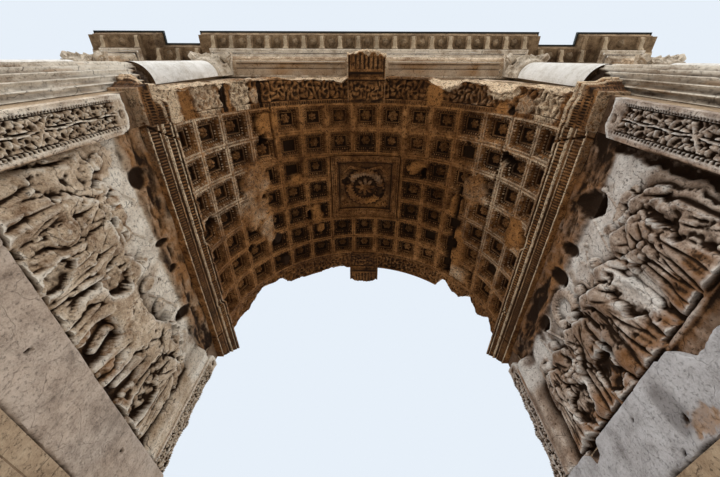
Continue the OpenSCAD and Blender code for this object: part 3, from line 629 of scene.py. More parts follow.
size = (size * chance.uniform(0.8, 1.08, len(a)))[:, None, None]
axes = np.stack([sideways * 0.88, slope * 1.25, lean], 1) * size
stains_and_light = vault_stains_and_light(a, y, 0.01 + 0 * deep, chance.uniform(0.1, 0.9, len(a)))
stains_and_light["soot"] = clamped(stains_and_light["soot"] + chance.uniform(-0.3, 0.3, len(a)))
strewn("coffer_eggs", dome(5), on_vault(a, y, deep), axes, grimy, "weathered_marble", **stains_and_light)

a, y, spin, radius, rise = np.array(flowers).T
spin, radius, rise = spin[:, None], radius[:, None], rise[:, None]
out, round_way = vault_ways(a)
away = np.array([0, 1, 0])
first = round_way * np.cos(spin) + away * np.sin(spin)
second = away * np.cos(spin) - round_way * np.sin(spin)
axes = np.stack([first * radius, second * radius, out * rise], 1)
stains_and_light = vault_stains_and_light(a, y, 0.03, 0.15)
strewn("coffer_rosettes", flower(6), on_vault(a, y, floor_depth), axes, grimy, "weathered_marble", **stains_and_light)

# %% [markdown]
# ## The crown panel
# In the middle of the vault a square panel holds a laurel wreath with ribbons round a
# large rosette, inside three carved frames. It is the same kind of grid as the vault,
# with finer lines, and the wreath is a ring of overlapping leaf shapes.

# %% Sculpting on a grid
class Panel:
    """A relief in the making: its height over the background at places (along, up)."""

    def __init__(self, along, up):
        self.s, self.z = (along, up) if np.ndim(along) == 2 else np.meshgrid(along, up)
        self.h = np.zeros(self.s.shape)

    def add(self, shape, blend=0.005):
        """Keeps the higher of the relief and a shape, with a soft seam between them."""
        near = np.maximum(blend - abs(self.h - shape), 0)
        self.h = np.maximum(self.h, shape) + near * near / (4 * blend)

    def ball(self, s, z, half_s, half_z, rise, lift=0.0, turn=0.0):
        """A rounded lump; turn leans its long side, in degrees."""
        c, w = cos(radians(turn)), sin(radians(turn))
        x, y = self.s - s, self.z - z
        room = 1 - ((x * c + y * w) / half_s) ** 2 - ((y * c - x * w) / half_z) ** 2
        self.add(np.where(room > 0, lift + rise * np.sqrt(np.maximum(room, 0)), -1))

    def limb(self, start, end, r0, r1, lift=0.0, end_lift=None, rise=1.0, folds=0, slant=0.0, deep=0.014):
        """A rounded bar from start to end, such as an arm, or a robe if it has folds."""
        (s0, z0), (s1, z1) = start, end
        long2 = max((s1 - s0) ** 2 + (z1 - z0) ** 2, 1e-9)
        t = clamped(((self.s - s0) * (s1 - s0) + (self.z - z0) * (z1 - z0)) / long2)
        x, y = self.s - s0 - t * (s1 - s0), self.z - z0 - t * (z1 - z0)
        r = r0 + (r1 - r0) * t
        room = 1 - (x * x + y * y) / (r * r)
        high = lift + ((end_lift if end_lift is not None else lift) - lift) * t
        shape = high + rise * r * np.sqrt(np.maximum(room, 0))
        if folds:
            side = (x * (z1 - z0) - y * (s1 - s0)) / sqrt(long2) / r
            wave = side * folds + slant * t + 0.35 * np.sin(5 * t + folds + s0 * 9)
            shape = shape - deep * (1 - abs(np.sin(wave * pi / 2))) ** 1.5 * (1.25 - t * 0.7)
        self.add(np.where(room > 0, shape, -1))

    def ring(self, s, z, r, thick, rise, lift=0.0, beads=0):
        """A round hoop or wreath; beads makes it a ring of leaves or pearls."""
        x, y = self.s - s, self.z - z
        far = abs(np.hypot(x, y) - r) / thick
        turn = np.arctan2(y, x)
        if beads:
            far = far * (1.25 - 0.4 * abs(np.sin(turn * beads / 2 + far * 1.2)))
        room = 1 - far * far
        self.add(np.where(room > 0, lift + rise * np.sqrt(np.maximum(room, 0)), -1))

    def petals(self, s, z, r, number, rise, lift=0.0, turn=0.0):
        """A flat flower with a button in the middle."""
        x, y = self.s - s, self.z - z
        far = np.hypot(x, y) / r
        lobe = abs(np.cos((np.arctan2(y, x) + turn) * number / 2))
        room = 1 - far / (0.62 + 0.38 * lobe)
        leaf = rise * np.minimum(np.maximum(room, 0) * 3, 1) * (0.45 + 0.55 * lobe) * np.minimum(far * 2.2 + 0.2, 1)
        self.add(np.where(room > 0, lift + leaf, -1))
        self.ball(s, z, r * 0.2, r * 0.2, rise * 0.9, lift)

    def grime_and_painted_light(self, spot, base=0.1, fine=20.0, broad=7.0, ridge=16.0):
        """Marks of dirt and painted light: soot and painted shade in what lies deeper than its surroundings, a
        painted highlight on what stands out.
        """
        near, mid, far = (blurred(self.h, reach) - self.h for reach in (2, 5, 10))
        soot = base + fine * (near + 0.5 * mid) + broad * far + 0.25 * cloud(spot, 0.45, 19, 3)
        return dict(soot=clamped(soot), fresh=np.clip(-ridge * (near + 0.5 * mid) - 3 * far, 0, 0.9),
                    ochre=np.clip(0.5 * smooth(cloud(spot, 0.35, 18, 3), 0.1, 0.6) + fine * mid, 0, 0.9))


print("sculpting tools ready")

# %% Carve the crown panel
side_a, side_y = crown_a - 0.043, crown_y - 0.043
wreath = Panel(np.linspace(-side_a, side_a, 116), np.linspace(-side_y, side_y, 112))
in_from_rim = np.minimum(side_a - abs(wreath.s), side_y - abs(wreath.z))
frame_marks = [0, 0.02, 0.035, 0.06, 0.09, 0.1, 0.125, 0.135, 0.16, 0.175, 0.2]
frame_depths = [0, 0, 0.02, 0.008, 0.03, 0.016, 0.016, 0.05, 0.06, 0.1, 0.1]
beads = np.maximum(abs(np.sin((wreath.s + 0.01) * pi / 0.062)), abs(np.sin(wreath.z * pi / 0.062)))
sunk = np.interp(in_from_rim, frame_marks, frame_depths)
sunk += 0.014 * (1 - beads) * (in_from_rim > 0.035) * (in_from_rim < 0.16)
wreath.ring(0, 0.02, 0.36, 0.085, 0.075, 0.0, 26)
wreath.ring(0, 0.02, 0.36, 0.03, 0.02, 0.05, 17)
wreath.petals(0, 0.02, 0.235, 8, 0.055)
wreath.petals(0, 0.02, 0.13, 6, 0.035, 0.045, 0.4)
for way in (-1, 1):
    wreath.limb((way * 0.05, -0.38), (way * 0.34, -0.47), 0.045, 0.03, 0.01, folds=3, rise=0.6)
    wreath.limb((way * 0.34, -0.47), (way * 0.49, -0.33), 0.035, 0.015, 0.01, folds=2, rise=0.6)
    wreath.ball(way * 0.07, -0.35, 0.075, 0.04, 0.045, 0.015, way * 30)
    wreath.petals(way * 0.47, 0.46, 0.085, 5, 0.04)
    wreath.petals(way * 0.47, -0.17, 0.06, 5, 0.03)
panel_angle, panel_y = wreath.s / passage_r, wreath.z
spot = on_vault(panel_angle, panel_y)
wear = 0.4 * smooth(cloud(spot, 0.3, 31, 2), 0.1, 0.6)
depth = sunk - wreath.h * (1 - wear) * (sunk > 0.09) + 0.006 * cloud(spot, 0.07, 32, 3)
broken = spread(wreath.s, wreath.z, [(-0.42, -0.12, 0.1, 0.09), (0.34, 0.13, 0.09, 0.13)], 0.5,
                cloud(spot, 0.1, 33) * 0.5)
depth = np.clip(depth + 0.04 * broken, 0, 0.15)
wreath.h = -depth
stains_and_light = wreath.grime_and_painted_light(spot, 0.3 + 0.4 * broken, 16, 6, 4)
stains_and_light["fresh"] = np.clip(0.45 * stains_and_light["fresh"] + 0.3 * spread(wreath.s, wreath.z, [(0.0, -0.2, 0.5, 0.16)], 0.6),
                          0, 0.7)
stains_and_light["ochre"] = clamped(stains_and_light["ochre"] + 0.8 * spread(wreath.s, wreath.z, [(0.2, 0.42, 0.22, 0.16)], 0.6))
crown = carved("crown_wreath_panel", on_vault(panel_angle, panel_y, depth), on_vault(panel_angle, panel_y, 0.2),
               grimy, "weathered_marble", **stains_and_light)
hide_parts("crown_panel")

# %% [markdown]
# ## The relief panels
# Two long reliefs line the passage. Each is one slab with a procession of draped
# figures in high relief on a smooth ground, worn and broken. The figures are built from
# lumps and rounded bars whose seams blend, and their robes are bars with folds. Their
# heads are plain ovals, as the weather left them. Over the slab the wall is torn into
# a rough hollow up to the impost.

# %% Draped figures
def robed_figure(panel, s, foot, tall, way, lift, arm=(0.2, 0.62), head=True, turn=0.0):
    """A figure in a long robe: its feet at (s, foot), facing way, its hand at arm."""
    x, y = (panel.s - s) * way / tall - turn * (panel.z - foot) / tall, (panel.z - foot) / tall
    at = lambda u, v: (s + (u + turn * v) * way * tall, foot + v * tall)
    half = np.interp(y, [0, 0.03, 0.45, 0.6, 0.8, 0.845], [0.15, 0.165, 0.13, 0.105, 0.135, 0.05])
    middle = np.interp(y, [0, 0.5, 0.8], [-0.02, 0.015, 0.0])
    room = 1 - ((x - middle) / half) ** 2
    fan = np.arctan2(x + 0.03, 0.8 - y)
    valley = 1 - abs(np.sin(fan * 15 + 0.7 * np.sin(y * 7 + s * 5)))
    folds = (0.024 * valley ** 2.4 + 0.006 * np.sin(fan * 47 + y * 5)) * tall * fade(y, 0.34, 0.62)
    sash = 1 - abs(np.sin((y + x * 1.3 + 1.6 * (x - 0.02) ** 2) * 14))
    folds = folds + 0.018 * tall * sash ** 2.4 * smooth(y, 0.36, 0.5) * fade(y, 0.72, 0.8)
    body = lift + 0.08 * tall * np.sqrt(np.maximum(room, 0)) - folds
    panel.add(np.where((room > 0) & (y > 0.0) & (y < 0.845), body, -1), 0.004)
    # A heavy roll of cloth over the arm, the far shoulder and the hanging end of the cloak
    panel.limb(at(-0.11, 0.79), at(0.11, 0.47), 0.034 * tall, 0.05 * tall, lift + 0.03 * tall, folds=2, deep=0.014)
    panel.limb(at(0.12, 0.5), at(0.14, 0.2), 0.045 * tall, 0.03 * tall, lift + 0.018 * tall, folds=3, deep=0.018)
    panel.limb(at(-0.125, 0.77), at(-0.15, 0.52), 0.042 * tall, 0.038 * tall, lift * 0.8)
    elbow = at((0.115 + arm[0]) / 2 + 0.05, min(arm[1], 0.77) - 0.08)
    panel.limb(at(0.115, 0.77), elbow, 0.042 * tall, 0.034 * tall, lift + 0.012)
    panel.limb(elbow, at(*arm), 0.033 * tall, 0.024 * tall, lift + 0.018)
    panel.ball(*at(-0.03, 0.015), 0.055 * tall, 0.022 * tall, 0.03, lift)
    panel.ball(*at(0.1, 0.012), 0.055 * tall, 0.022 * tall, 0.03, lift)
    if head:
        panel.limb(at(0.0, 0.82), at(0.01, 0.88), 0.036 * tall, 0.033 * tall, lift)
        panel.ball(*at(0.018, 0.93), 0.048 * tall, 0.066 * tall, 0.055 * tall, lift + 0.012, -10 * way)
        panel.ball(*at(-0.012, 0.962), 0.056 * tall, 0.046 * tall, 0.05 * tall, lift + 0.012, 15 * way)


def ox(panel, s, foot, lift, size):
    """An ox that is led to the right."""
    at = lambda u, v: (s + u * size, foot + v * size)
    bars = [((-0.3, 0.56), (0.26, 0.56), 0.19, 0.18, 0.0, 0.5),
            ((0.3, 0.62), (0.52, 0.84), 0.135, 0.095, 0.01, 0.55),
            ((0.4, 0.5), (0.56, 0.72), 0.045, 0.04, 0.01, 1),
            ((0.54, 0.88), (0.74, 0.74), 0.085, 0.05, 0.025, 0.7),
            ((0.55, 0.95), (0.62, 1.05), 0.02, 0.017, 0.03, 1), ((0.62, 1.05), (0.7, 1.02), 0.017, 0.008, 0.03, 1),
            ((0.5, 0.95), (0.47, 1.06), 0.02, 0.017, 0.03, 1), ((0.47, 1.06), (0.53, 1.12), 0.017, 0.008, 0.03, 1),
            ((-0.5, 0.64), (-0.56, 0.3), 0.022, 0.03, 0.0, 1)]
    for hip, knee, hoof in (((0.3, 0.42), (0.36, 0.22), (0.32, 0.03)), ((0.16, 0.4), (0.17, 0.21), (0.13, 0.03)),
                            ((-0.38, 0.44), (-0.44, 0.24), (-0.38, 0.03)),
                            ((-0.24, 0.4), (-0.26, 0.22), (-0.22, 0.03))):
        bars += [(hip, knee, 0.08, 0.038, 0.0, 1), (knee, hoof, 0.036, 0.034, 0.01, 1)]
    for start, end, r0, r1, up, rise in bars:
        panel.limb(at(*start), at(*end), r0 * size, r1 * size, lift + up, rise=rise)
    panel.ball(*at(-0.34, 0.56), 0.17 * size, 0.2 * size, 0.11 * size, lift)
    panel.ball(*at(0.26, 0.58), 0.18 * size, 0.21 * size, 0.115 * size, lift)


def round_shield(panel, s, z, r, lift):
    """A bossed shield with a rim and a ring of leaves."""
    panel.ball(s, z, r, r * 1.08, r * 0.34, lift)
    panel.ring(s, z, r * 0.9, r * 0.07, 0.016, lift + r * 0.14)
    panel.ring(s, z, r * 0.55, r * 0.06, 0.014, lift + r * 0.28, 18)
    panel.ball(s, z, r * 0.17, r * 0.17, 0.035, lift + r * 0.32)


def garland(panel, left, right, sag, r, lift):
    """A heavy swag of leaves and fruit between two points."""
    (s0, z0), (s1, z1), links = left, right, 12
    knots = [(s0 + (s1 - s0) * k / links, z0 + (z1 - z0) * k / links - sag * sin(pi * k / links))
             for k in range(links + 1)]
    for k in range(links):
        thick = r * (0.5 + 0.5 * sin(pi * (k + 0.5) / links))
        panel.limb(knots[k], knots[k + 1], thick, thick, lift, rise=0.6)
        for off in (-0.45, 0.45):
            panel.ball(knots[k][0] + 0.2 * thick * (-1) ** k, knots[k][1] + off * thick, thick * 0.42, thick * 0.42,
                       thick * 0.5, lift + thick * 0.45)


def staff(panel, start, end, lift=0.012):
    """A thin pole with a knob, carried on the shoulder."""
    panel.limb(start, end, 0.015, 0.013, lift)
    panel.ball(*end, 0.03, 0.034, 0.03, lift)


print("figures ready")

# %% Compose the two processions
foot = dado_z + 0.025


def left_procession(panel):
    """Leaders with staffs, a pair of oxen for the altar, and shield bearers behind them."""
    for s, tall in ((-1.7, 1.2), (-1.28, 1.24), (-0.84, 1.21), (-0.42, 1.25), (0.98, 1.24), (1.4, 1.2)):
        robed_figure(panel, s, foot + 0.05, tall, 1, 0.025, (0.17, 0.74))
    for start, end in (((-1.46, 4.5), (-1.12, 4.86)), ((-0.98, 4.46), (-0.52, 4.88)), ((0.1, 4.5), (0.62, 4.86)),
                       ((0.78, 4.42), (1.16, 4.84))):
        staff(panel, start, end)
    for s, z, tall in ((-0.06, 4.52, 0.13), (0.34, 4.56, 0.12), (0.7, 4.5, 0.13)):
        panel.ball(s, z, 0.6 * tall, tall, 0.07, 0.02, 8)
    ox(panel, 0.42, foot + 0.12, 0.04, 1.12)
    ox(panel, -0.02, foot, 0.09, 1.2)
    for s, tall, way, arm in ((-1.5, 1.12, 1, (0.22, 0.66)), (-1.03, 1.16, 1, (0.21, 0.52)),
                              (1.2, 1.13, -1, (0.2, 0.62))):
        robed_figure(panel, s, foot, tall, way, 0.085, arm, turn=0.04)
    round_shield(panel, -1.27, 3.8, 0.16, 0.105)
    panel.ball(0.26, 3.5, 0.13, 0.15, 0.085, 0.045)
    panel.ball(-0.24, 3.46, 0.1, 0.12, 0.07, 0.045)


def right_procession(panel):
    """Bearers of a long festoon, jars on the ground, and a great wreath over them."""
    for s, tall in ((-1.4, 1.18), (-0.98, 1.22), (-0.52, 1.2), (-0.08, 1.22), (0.52, 1.2), (0.98, 1.22),
                    (1.42, 1.16)):
        robed_figure(panel, s, foot + 0.05, tall, -1, 0.025, (0.18, 0.72))
    # The bearer at -0.3 has lost its head
    for s, tall, way, arm in ((-1.2, 1.1, 1, (0.22, 0.72)), (-0.3, 1.14, -1, (0.2, 0.74)),
                              (0.3, 1.12, 1, (0.22, 0.7)), (1.2, 1.12, -1, (0.2, 0.72))):
        robed_figure(panel, s, foot, tall, way, 0.085, arm, s != -0.3, -0.04)
    for left, right, low in (((-1.5, 4.14), (-0.8, 4.16), 0.2), ((0.34, 4.2), (1.14, 4.16), 0.24)):
        garland(panel, left, right, low, 0.085, 0.11)
    for s in (-0.02, 0.76):
        panel.ball(s, 3.58, 0.14, 0.2, 0.095, 0.075)
        panel.limb((s, 3.74), (s, 3.86), 0.052, 0.072, 0.1)
    panel.ring(0.36, 4.66, 0.22, 0.065, 0.06, 0.0, 22)
    for end in ((0.22, 4.36), (0.52, 4.34)):
        panel.limb((0.36, 4.46), end, 0.03, 0.018, 0.006, folds=2)
    for start, end in (((-1.2, 4.52), (-1.34, 4.88)), ((-0.76, 4.45), (-0.98, 4.92)), ((-0.3, 4.5), (-0.62, 4.8)),
                       ((0.74, 4.46), (0.98, 4.88)), ((1.1, 4.4), (1.18, 4.84))):
        staff(panel, start, end)


print("processions composed over", round(foot, 3))

# %% Where the reliefs are worn and stained
both_sides = ((-1, "left"), (1, "right"))
wall_stone = {-1: beige, 1: dusty}
wall_holes = {-1: [(-1.34, 5.03, 0.13, 0.1), (-0.4, 5.04, 0.045, 0.09), (0.047, 5.04, 0.055, 0.065),
                   (0.855, 4.94, 0.1, 0.15), (0.047, 4.77, 0.02, 0.02), (1.01, 4.74, 0.03, 0.035)],
              1: [(-1.12, 4.96, 0.16, 0.16), (-0.42, 5.00, 0.09, 0.11), (0.047, 5.00, 0.11, 0.13),
                  (0.9, 4.93, 0.12, 0.1), (1.24, 3.31, 0.17, 0.09)]}
worn_patches = {-1: [(-1.72, 4.25, 0.26, 0.5), (-1.05, 4.46, 0.42, 0.17), (-0.5, 4.1, 0.15, 0.2),
                     (1.5, 4.35, 0.2, 0.22), (1.05, 3.62, 0.14, 0.22), (-0.95, 3.55, 0.12, 0.16)],
                1: [(-0.64, 3.9, 0.22, 0.34), (-1.52, 3.8, 0.18, 0.4), (1.44, 4.4, 0.2, 0.26),
                    (-0.29, 4.62, 0.16, 0.2), (0.3, 3.62, 0.16, 0.2), (-1.25, 4.5, 0.25, 0.12),
                    (0.95, 3.66, 0.2, 0.2)]}
# Stains: along, up, half sizes, then how pale, rusty and sooty
wall_tones = {-1: [(0.35, 3.5, 0.6, 0.14, 0.0, 0.6, 0.15), (0.4, 4.46, 0.8, 0.1, 0.0, 0.35, 0.3),
                   (-1.5, 4.7, 0.45, 0.22, 0.15, 0.35, 0.05), (1.15, 3.9, 0.3, 0.4, 0.0, 0.2, 0.18)],
              1: [(0.11, 4.0, 0.52, 0.42, 0.0, 0.6, 0.32), (0.1, 3.46, 1.6, 0.18, 0.0, 0.85, 0.22),
                  (1.1, 4.2, 0.3, 0.3, 0.0, 0.5, 0.1), (-0.64, 3.92, 0.2, 0.33, 0.75, 0.0, -0.5),
                  (1.38, 4.83, 0.19, 0.19, 0.9, 0.0, -0.5), (-0.29, 4.7, 0.14, 0.2, 0.6, 0.0, -0.4),
                  (-1.2, 3.9, 0.3, 0.5, 0.0, 0.35, 0.15)]}
print("wall holes", [len(holes) for holes in wall_holes.values()])

# %% Wear the reliefs and set them in the walls
for side, word in both_sides:
    panel = Panel(np.linspace(-field_y, field_y, 350), np.linspace(foot - 0.26, impost_z, 186))
    (left_procession if side < 0 else right_procession)(panel)
    s, z = panel.s, panel.z
    panel.limb((-field_y, foot - 0.02), (1.66, foot - 0.02), 0.045, 0.045, 0.06)
    spot = xyz(s, z, side)
    ragged = 0.012 * cloud(spot, 0.1, 23, 3)
    lost = smooth(spread(s, z, worn_patches[side], 0.5, cloud(spot, 0.12, 22, 3) * 0.5), 0.35, 0.6)
    broken = 0.085 + 3 * ragged + 0.05 * cloud(spot * (1, 1.6, 1), 0.3, 34, 2)
    height = panel.h * (1 - lost) + np.minimum(np.maximum(panel.h, 0.03), broken) * lost
    # Undercut gaps: what is lower than its surroundings goes deeper still
    height = height + 0.7 * np.minimum(height - blurred(height, 5), 0.004) * (height > 0.004)
    chipped = smooth(cloud(spot, 0.13, 29, 3), 0.15, 0.4) * smooth(height, 0.03, 0.09)
    height = height - 0.03 * chipped + ragged * (0.3 + np.minimum(height * 8, 0.8))
    sky = (height < 0.02 + 2 * ragged) * smooth(z, 4.3, 4.55)
    height = height - 0.006 * sky * smooth(abs(np.sin(s * 9 + z * 13 + 2 * cloud(spot, 0.5, 28))), 0.12, 0.0)
    jamb = smooth(s, 1.6, 1.76 if side < 0 else 1.84)
    height = np.maximum(height, jamb * 0.172)
    recess = np.zeros(height.shape)
    if side > 0:
        recess = fade(s + 0.1 * cloud(spot, 0.2, 31, 3), -1.78, -1.72) * smooth(z, 3.7, 3.9)
        height = height * (1 - recess) - (0.055 - 0.05 * cloud(spot, 0.13, 36, 4)) * recess
    torn = smooth(z + 0.07 * cloud(spot, 0.22, 24, 3), slab_z - 0.03, slab_z + 0.04)
    ledges = 0.045 + 0.055 * cloud(spot * (1, 3.0, 1), 0.34, 25, 4) + 0.065 * smooth(z, 5.08, 5.26)
    height = height * (1 - torn) + torn * np.clip(ledges, -0.015, 0.135)
    hole = spread(s, z, wall_holes[side], 0.55, cloud(spot, 0.1, 12) * 0.22)
    socket = np.where(z > slab_z - 0.05, -0.026, -0.1)
    height = height * (1 - hole) + socket * hole
    below = fade(z, dado_z - 0.02, dado_z + 0.01)
    height = height * (1 - below) + below * (0.078 + 0.01 * cloud(spot, 0.07, 26, 3))
    panel.h = np.clip(height, -0.13, 0.186)
    panel.h = np.where(z > slab_z, np.maximum(panel.h, -0.028), panel.h)
    stains_and_light = panel.grime_and_painted_light(spot, (0.06 if side < 0 else 0.3) + 0.16 * smooth(s, -0.2, 1.2), 26, 9,
                             20 if side < 0 else 15)
    for *oval, fresh, ochre, soot in wall_tones[side]:
        here = spread(s, z, [oval], 0.7, cloud(spot, 0.15, 32, 3) * 0.5) * (1 - torn)
        for mark, value in (("fresh", fresh), ("ochre", ochre), ("soot", soot)):
            stains_and_light[mark] = stains_and_light[mark] + value * here
    stained = smooth(cloud(spot * (1, 0.7, 1), 0.3, 35, 4), 0.0, 0.45)
    pale = sky * (1 - torn) * (1 - hole) * (1 - (0.45 if side < 0 else 0.75) * stained)
    # Sockets and the recess under the strip get painted shade; the torn bed under the impost gets soot and painted
    # shade; the pale upper ground loses soot
    stains_and_light["soot"] = clamped(stains_and_light["soot"] * (1 - 0.6 * pale) * (1 - 0.4 * jamb) * (1 - hole) + 0.85 * hole
                             + 0.45 * recess
                             + torn * (1 - hole)
                             * (0.12 + 0.55 * smooth(cloud(spot * (1, 2.5, 1), 0.25, 27, 3), -0.1, 0.5)))
    stains_and_light["fresh"] = np.clip(stains_and_light["fresh"] + 0.8 * pale + 0.15 * jamb - recess, 0, 0.9) * (1 - 0.75 * torn)
    stains_and_light["ochre"] = clamped(stains_and_light["ochre"] * (1 - pale) + torn * (0.75 + 0.6 * cloud(spot, 0.22, 30, 3))
                              + 0.5 * below)
    front = xyz(side * (slab_x - panel.h), s, z)
    back = xyz(side * (slab_x + 0.16), s, z)
    piece = carved("relief_" + word, front, back, wall_stone[side], **stains_and_light)
    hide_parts("relief_panel_" + word)

# %% [markdown]
# ## Jamb strips and dado
# Narrow strips with a candelabrum of leaves frame each relief, and plain blocks run
# under it. The strips are grids too. Their grid goes on over their worn round tops as
# the rough bed that shows there. The dado's top edge is broken on the right.

# %% Carve the four strips
def leaf_scroll(along, across, cell, spot):
    """A running scroll, 0 in its hollows to 1: a lobed leaf curls in each cell, every second one turned over."""
    along = along + 0.2 * cell * cloud(spot, cell * 0.9, 78, 2)
    across = across + 0.2 * cell * cloud(spot, cell * 0.9, 79, 2)
    k = np.round(along / cell)
    u, v = (along - k * cell) * 2 / cell, across * 2 / cell * (-1) ** k
    r, turn = np.hypot(u, v), np.arctan2(v, u)
    lobes = np.cos(6 * turn + 5 * r + k) * smooth(r, 0.2, 0.5)
    return clamped(0.52 + 0.42 * np.cos(turn - 5.5 * r) + 0.36 * lobes)


def leafy_strip(width, low, high, seed):
    """A wandering stem with a row of curled leaves on each side, and drilled dots along both margins."""
    panel = Panel(np.linspace(0, width, 48), np.linspace(low, high, 206))
    s, z = panel.s, panel.z
    spot = xyz(s, z, seed)
    bend = s + 0.01 * np.sin(z * 17 + seed)
    for middle, half, shift in ((0.122, 0.058, 0.0), (0.256, 0.056, 0.09)):
        leaf = leaf_scroll(z + shift, s - middle, 0.17 if seed < 0 else 0.2, spot)
        panel.h = np.maximum(panel.h, 0.052 * leaf * smooth(half - abs(s - middle), 0, 0.012))
    panel.h = np.maximum(panel.h, 0.05 * smooth(0.013 - abs(bend - 0.19), 0, 0.008))
    for slope in (-1, 1):
        cross = abs((z - 4.02) * slope - (s - 0.19) * 0.8)
        panel.h = np.maximum(panel.h, 0.052 * smooth(0.022 - cross, 0, 0.012) * (abs(s - 0.19) < 0.11))
    drilled = smooth(cloud(spot, 0.038, 80), 0.32, 0.55) * (s > 0.06) * (s < 0.32)
    panel.h = panel.h * (1 - drilled)
    panel.dots = np.zeros(panel.h.shape)
    for row, pitch, r in ((0.052, 0.03, 0.01), (0.328, 0.042, 0.013)):
        off = z - np.round(z / pitch) * pitch
        panel.dots = np.maximum(panel.dots, smooth(r * 1.5 - np.hypot(off, s - row), 0, r * 0.8))
    return panel


strip_w, lining = wall_y - field_y, 0.118
for (side, word), (end, place) in product(both_sides, ((-1, "near"), (1, "far"))):
    panel = leafy_strip(strip_w, dado_z, impost_z, side * 3 + end)
    s, z = panel.s, panel.z
    spot = xyz(s + end, z, side * 3)
    field = smooth(s, 0.058, 0.07) * fade(s, 0.306, 0.318)
    wear = np.clip(0.05 + 0.7 * smooth(cloud(spot, 0.3, 41, 2), 0.1, 0.6), 0, 0.9)
    head = smooth(z + 0.05 * cloud(spot, 0.1, 46, 2), 4.82, 4.9)
    height = (-0.056 * field + panel.h * field * (1 - 0.4 * wear) - 0.03 * panel.dots) * (1 - head)
    height = height - 0.02 * smooth(spread(s, z, [(0.2, 4.97, 0.05, 0.045)], 0.6), 0, 1)
    height = np.minimum(height - 0.02 * (wear > 0.6) * field + 0.007 * cloud(spot, 0.06, 42, 3), 0) - 0.003
    inner = np.clip(s - (strip_w - 0.15) + 0.03 * cloud(spot, 0.12, 47, 2), 0, 0.15)
    top = strip_z - (0.15 - np.sqrt(0.15 ** 2 - inner ** 2)) + 0.022 * cloud(spot, 0.11, 43, 3)
    if end > 0:
        outer = 0.04 + 0.06 * cloud(spot * (0, 1, 0), 0.16, 44, 3)
        height = height - 0.06 * fade(s, outer, outer + 0.03)
    over = smooth(z, top - 0.006, top + 0.006)
    height = height * (1 - over) - over * (0.1 + 0.012 * cloud(spot, 0.1, 45, 3))
    panel.h = np.maximum(height, -0.112)
    stains_and_light = panel.grime_and_painted_light(spot, (0.16 if side < 0 else 0.34) + 0.16 * (end > 0), 34, 12, 20)
    # A painted shadow along the inner edge of the near strips, beside the relief
    painted_gap_shadow = smooth(s, 0.372, 0.385) * fade(z, 4.2, 4.6) * (end < 0)
    # The rough bed over the tops gets soot and painted shade, and the drilled dots painted shade
    stains_and_light["soot"] = clamped(stains_and_light["soot"] * (1 - over) + 0.45 * over + 0.8 * panel.dots * (1 - head)
                             + 0.8 * painted_gap_shadow - 0.25 * (1 - field) * (1 - over))
    # The plain margins and the worn tops are paler: worn stone, partly a painted highlight
    margin = (0.45 if side < 0 else 0.3) * (1 - field) * (1 - panel.dots) + 0.25 * head
    stains_and_light["fresh"] = np.clip(stains_and_light["fresh"] + margin, 0, 0.9) * (1 - over) * (1 - painted_gap_shadow)
    stains_and_light["ochre"] = (stains_and_light["ochre"] * (1 - over) + 0.6 * over + 0.5 * smooth(s, 0.34, 0.36) * (1 - head)
                       * (1 - over))
    y = end * (wall_y - s)
    front = xyz(side * (passage_r - panel.h), y, z)
    back = xyz(side * (passage_r + lining), y, z)
    piece = carved("jamb_strip_%s_%s" % (word, place), front, back, wall_stone[side], **stains_and_light)
    if end < 0:
        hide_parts("jamb_strips_" + word)

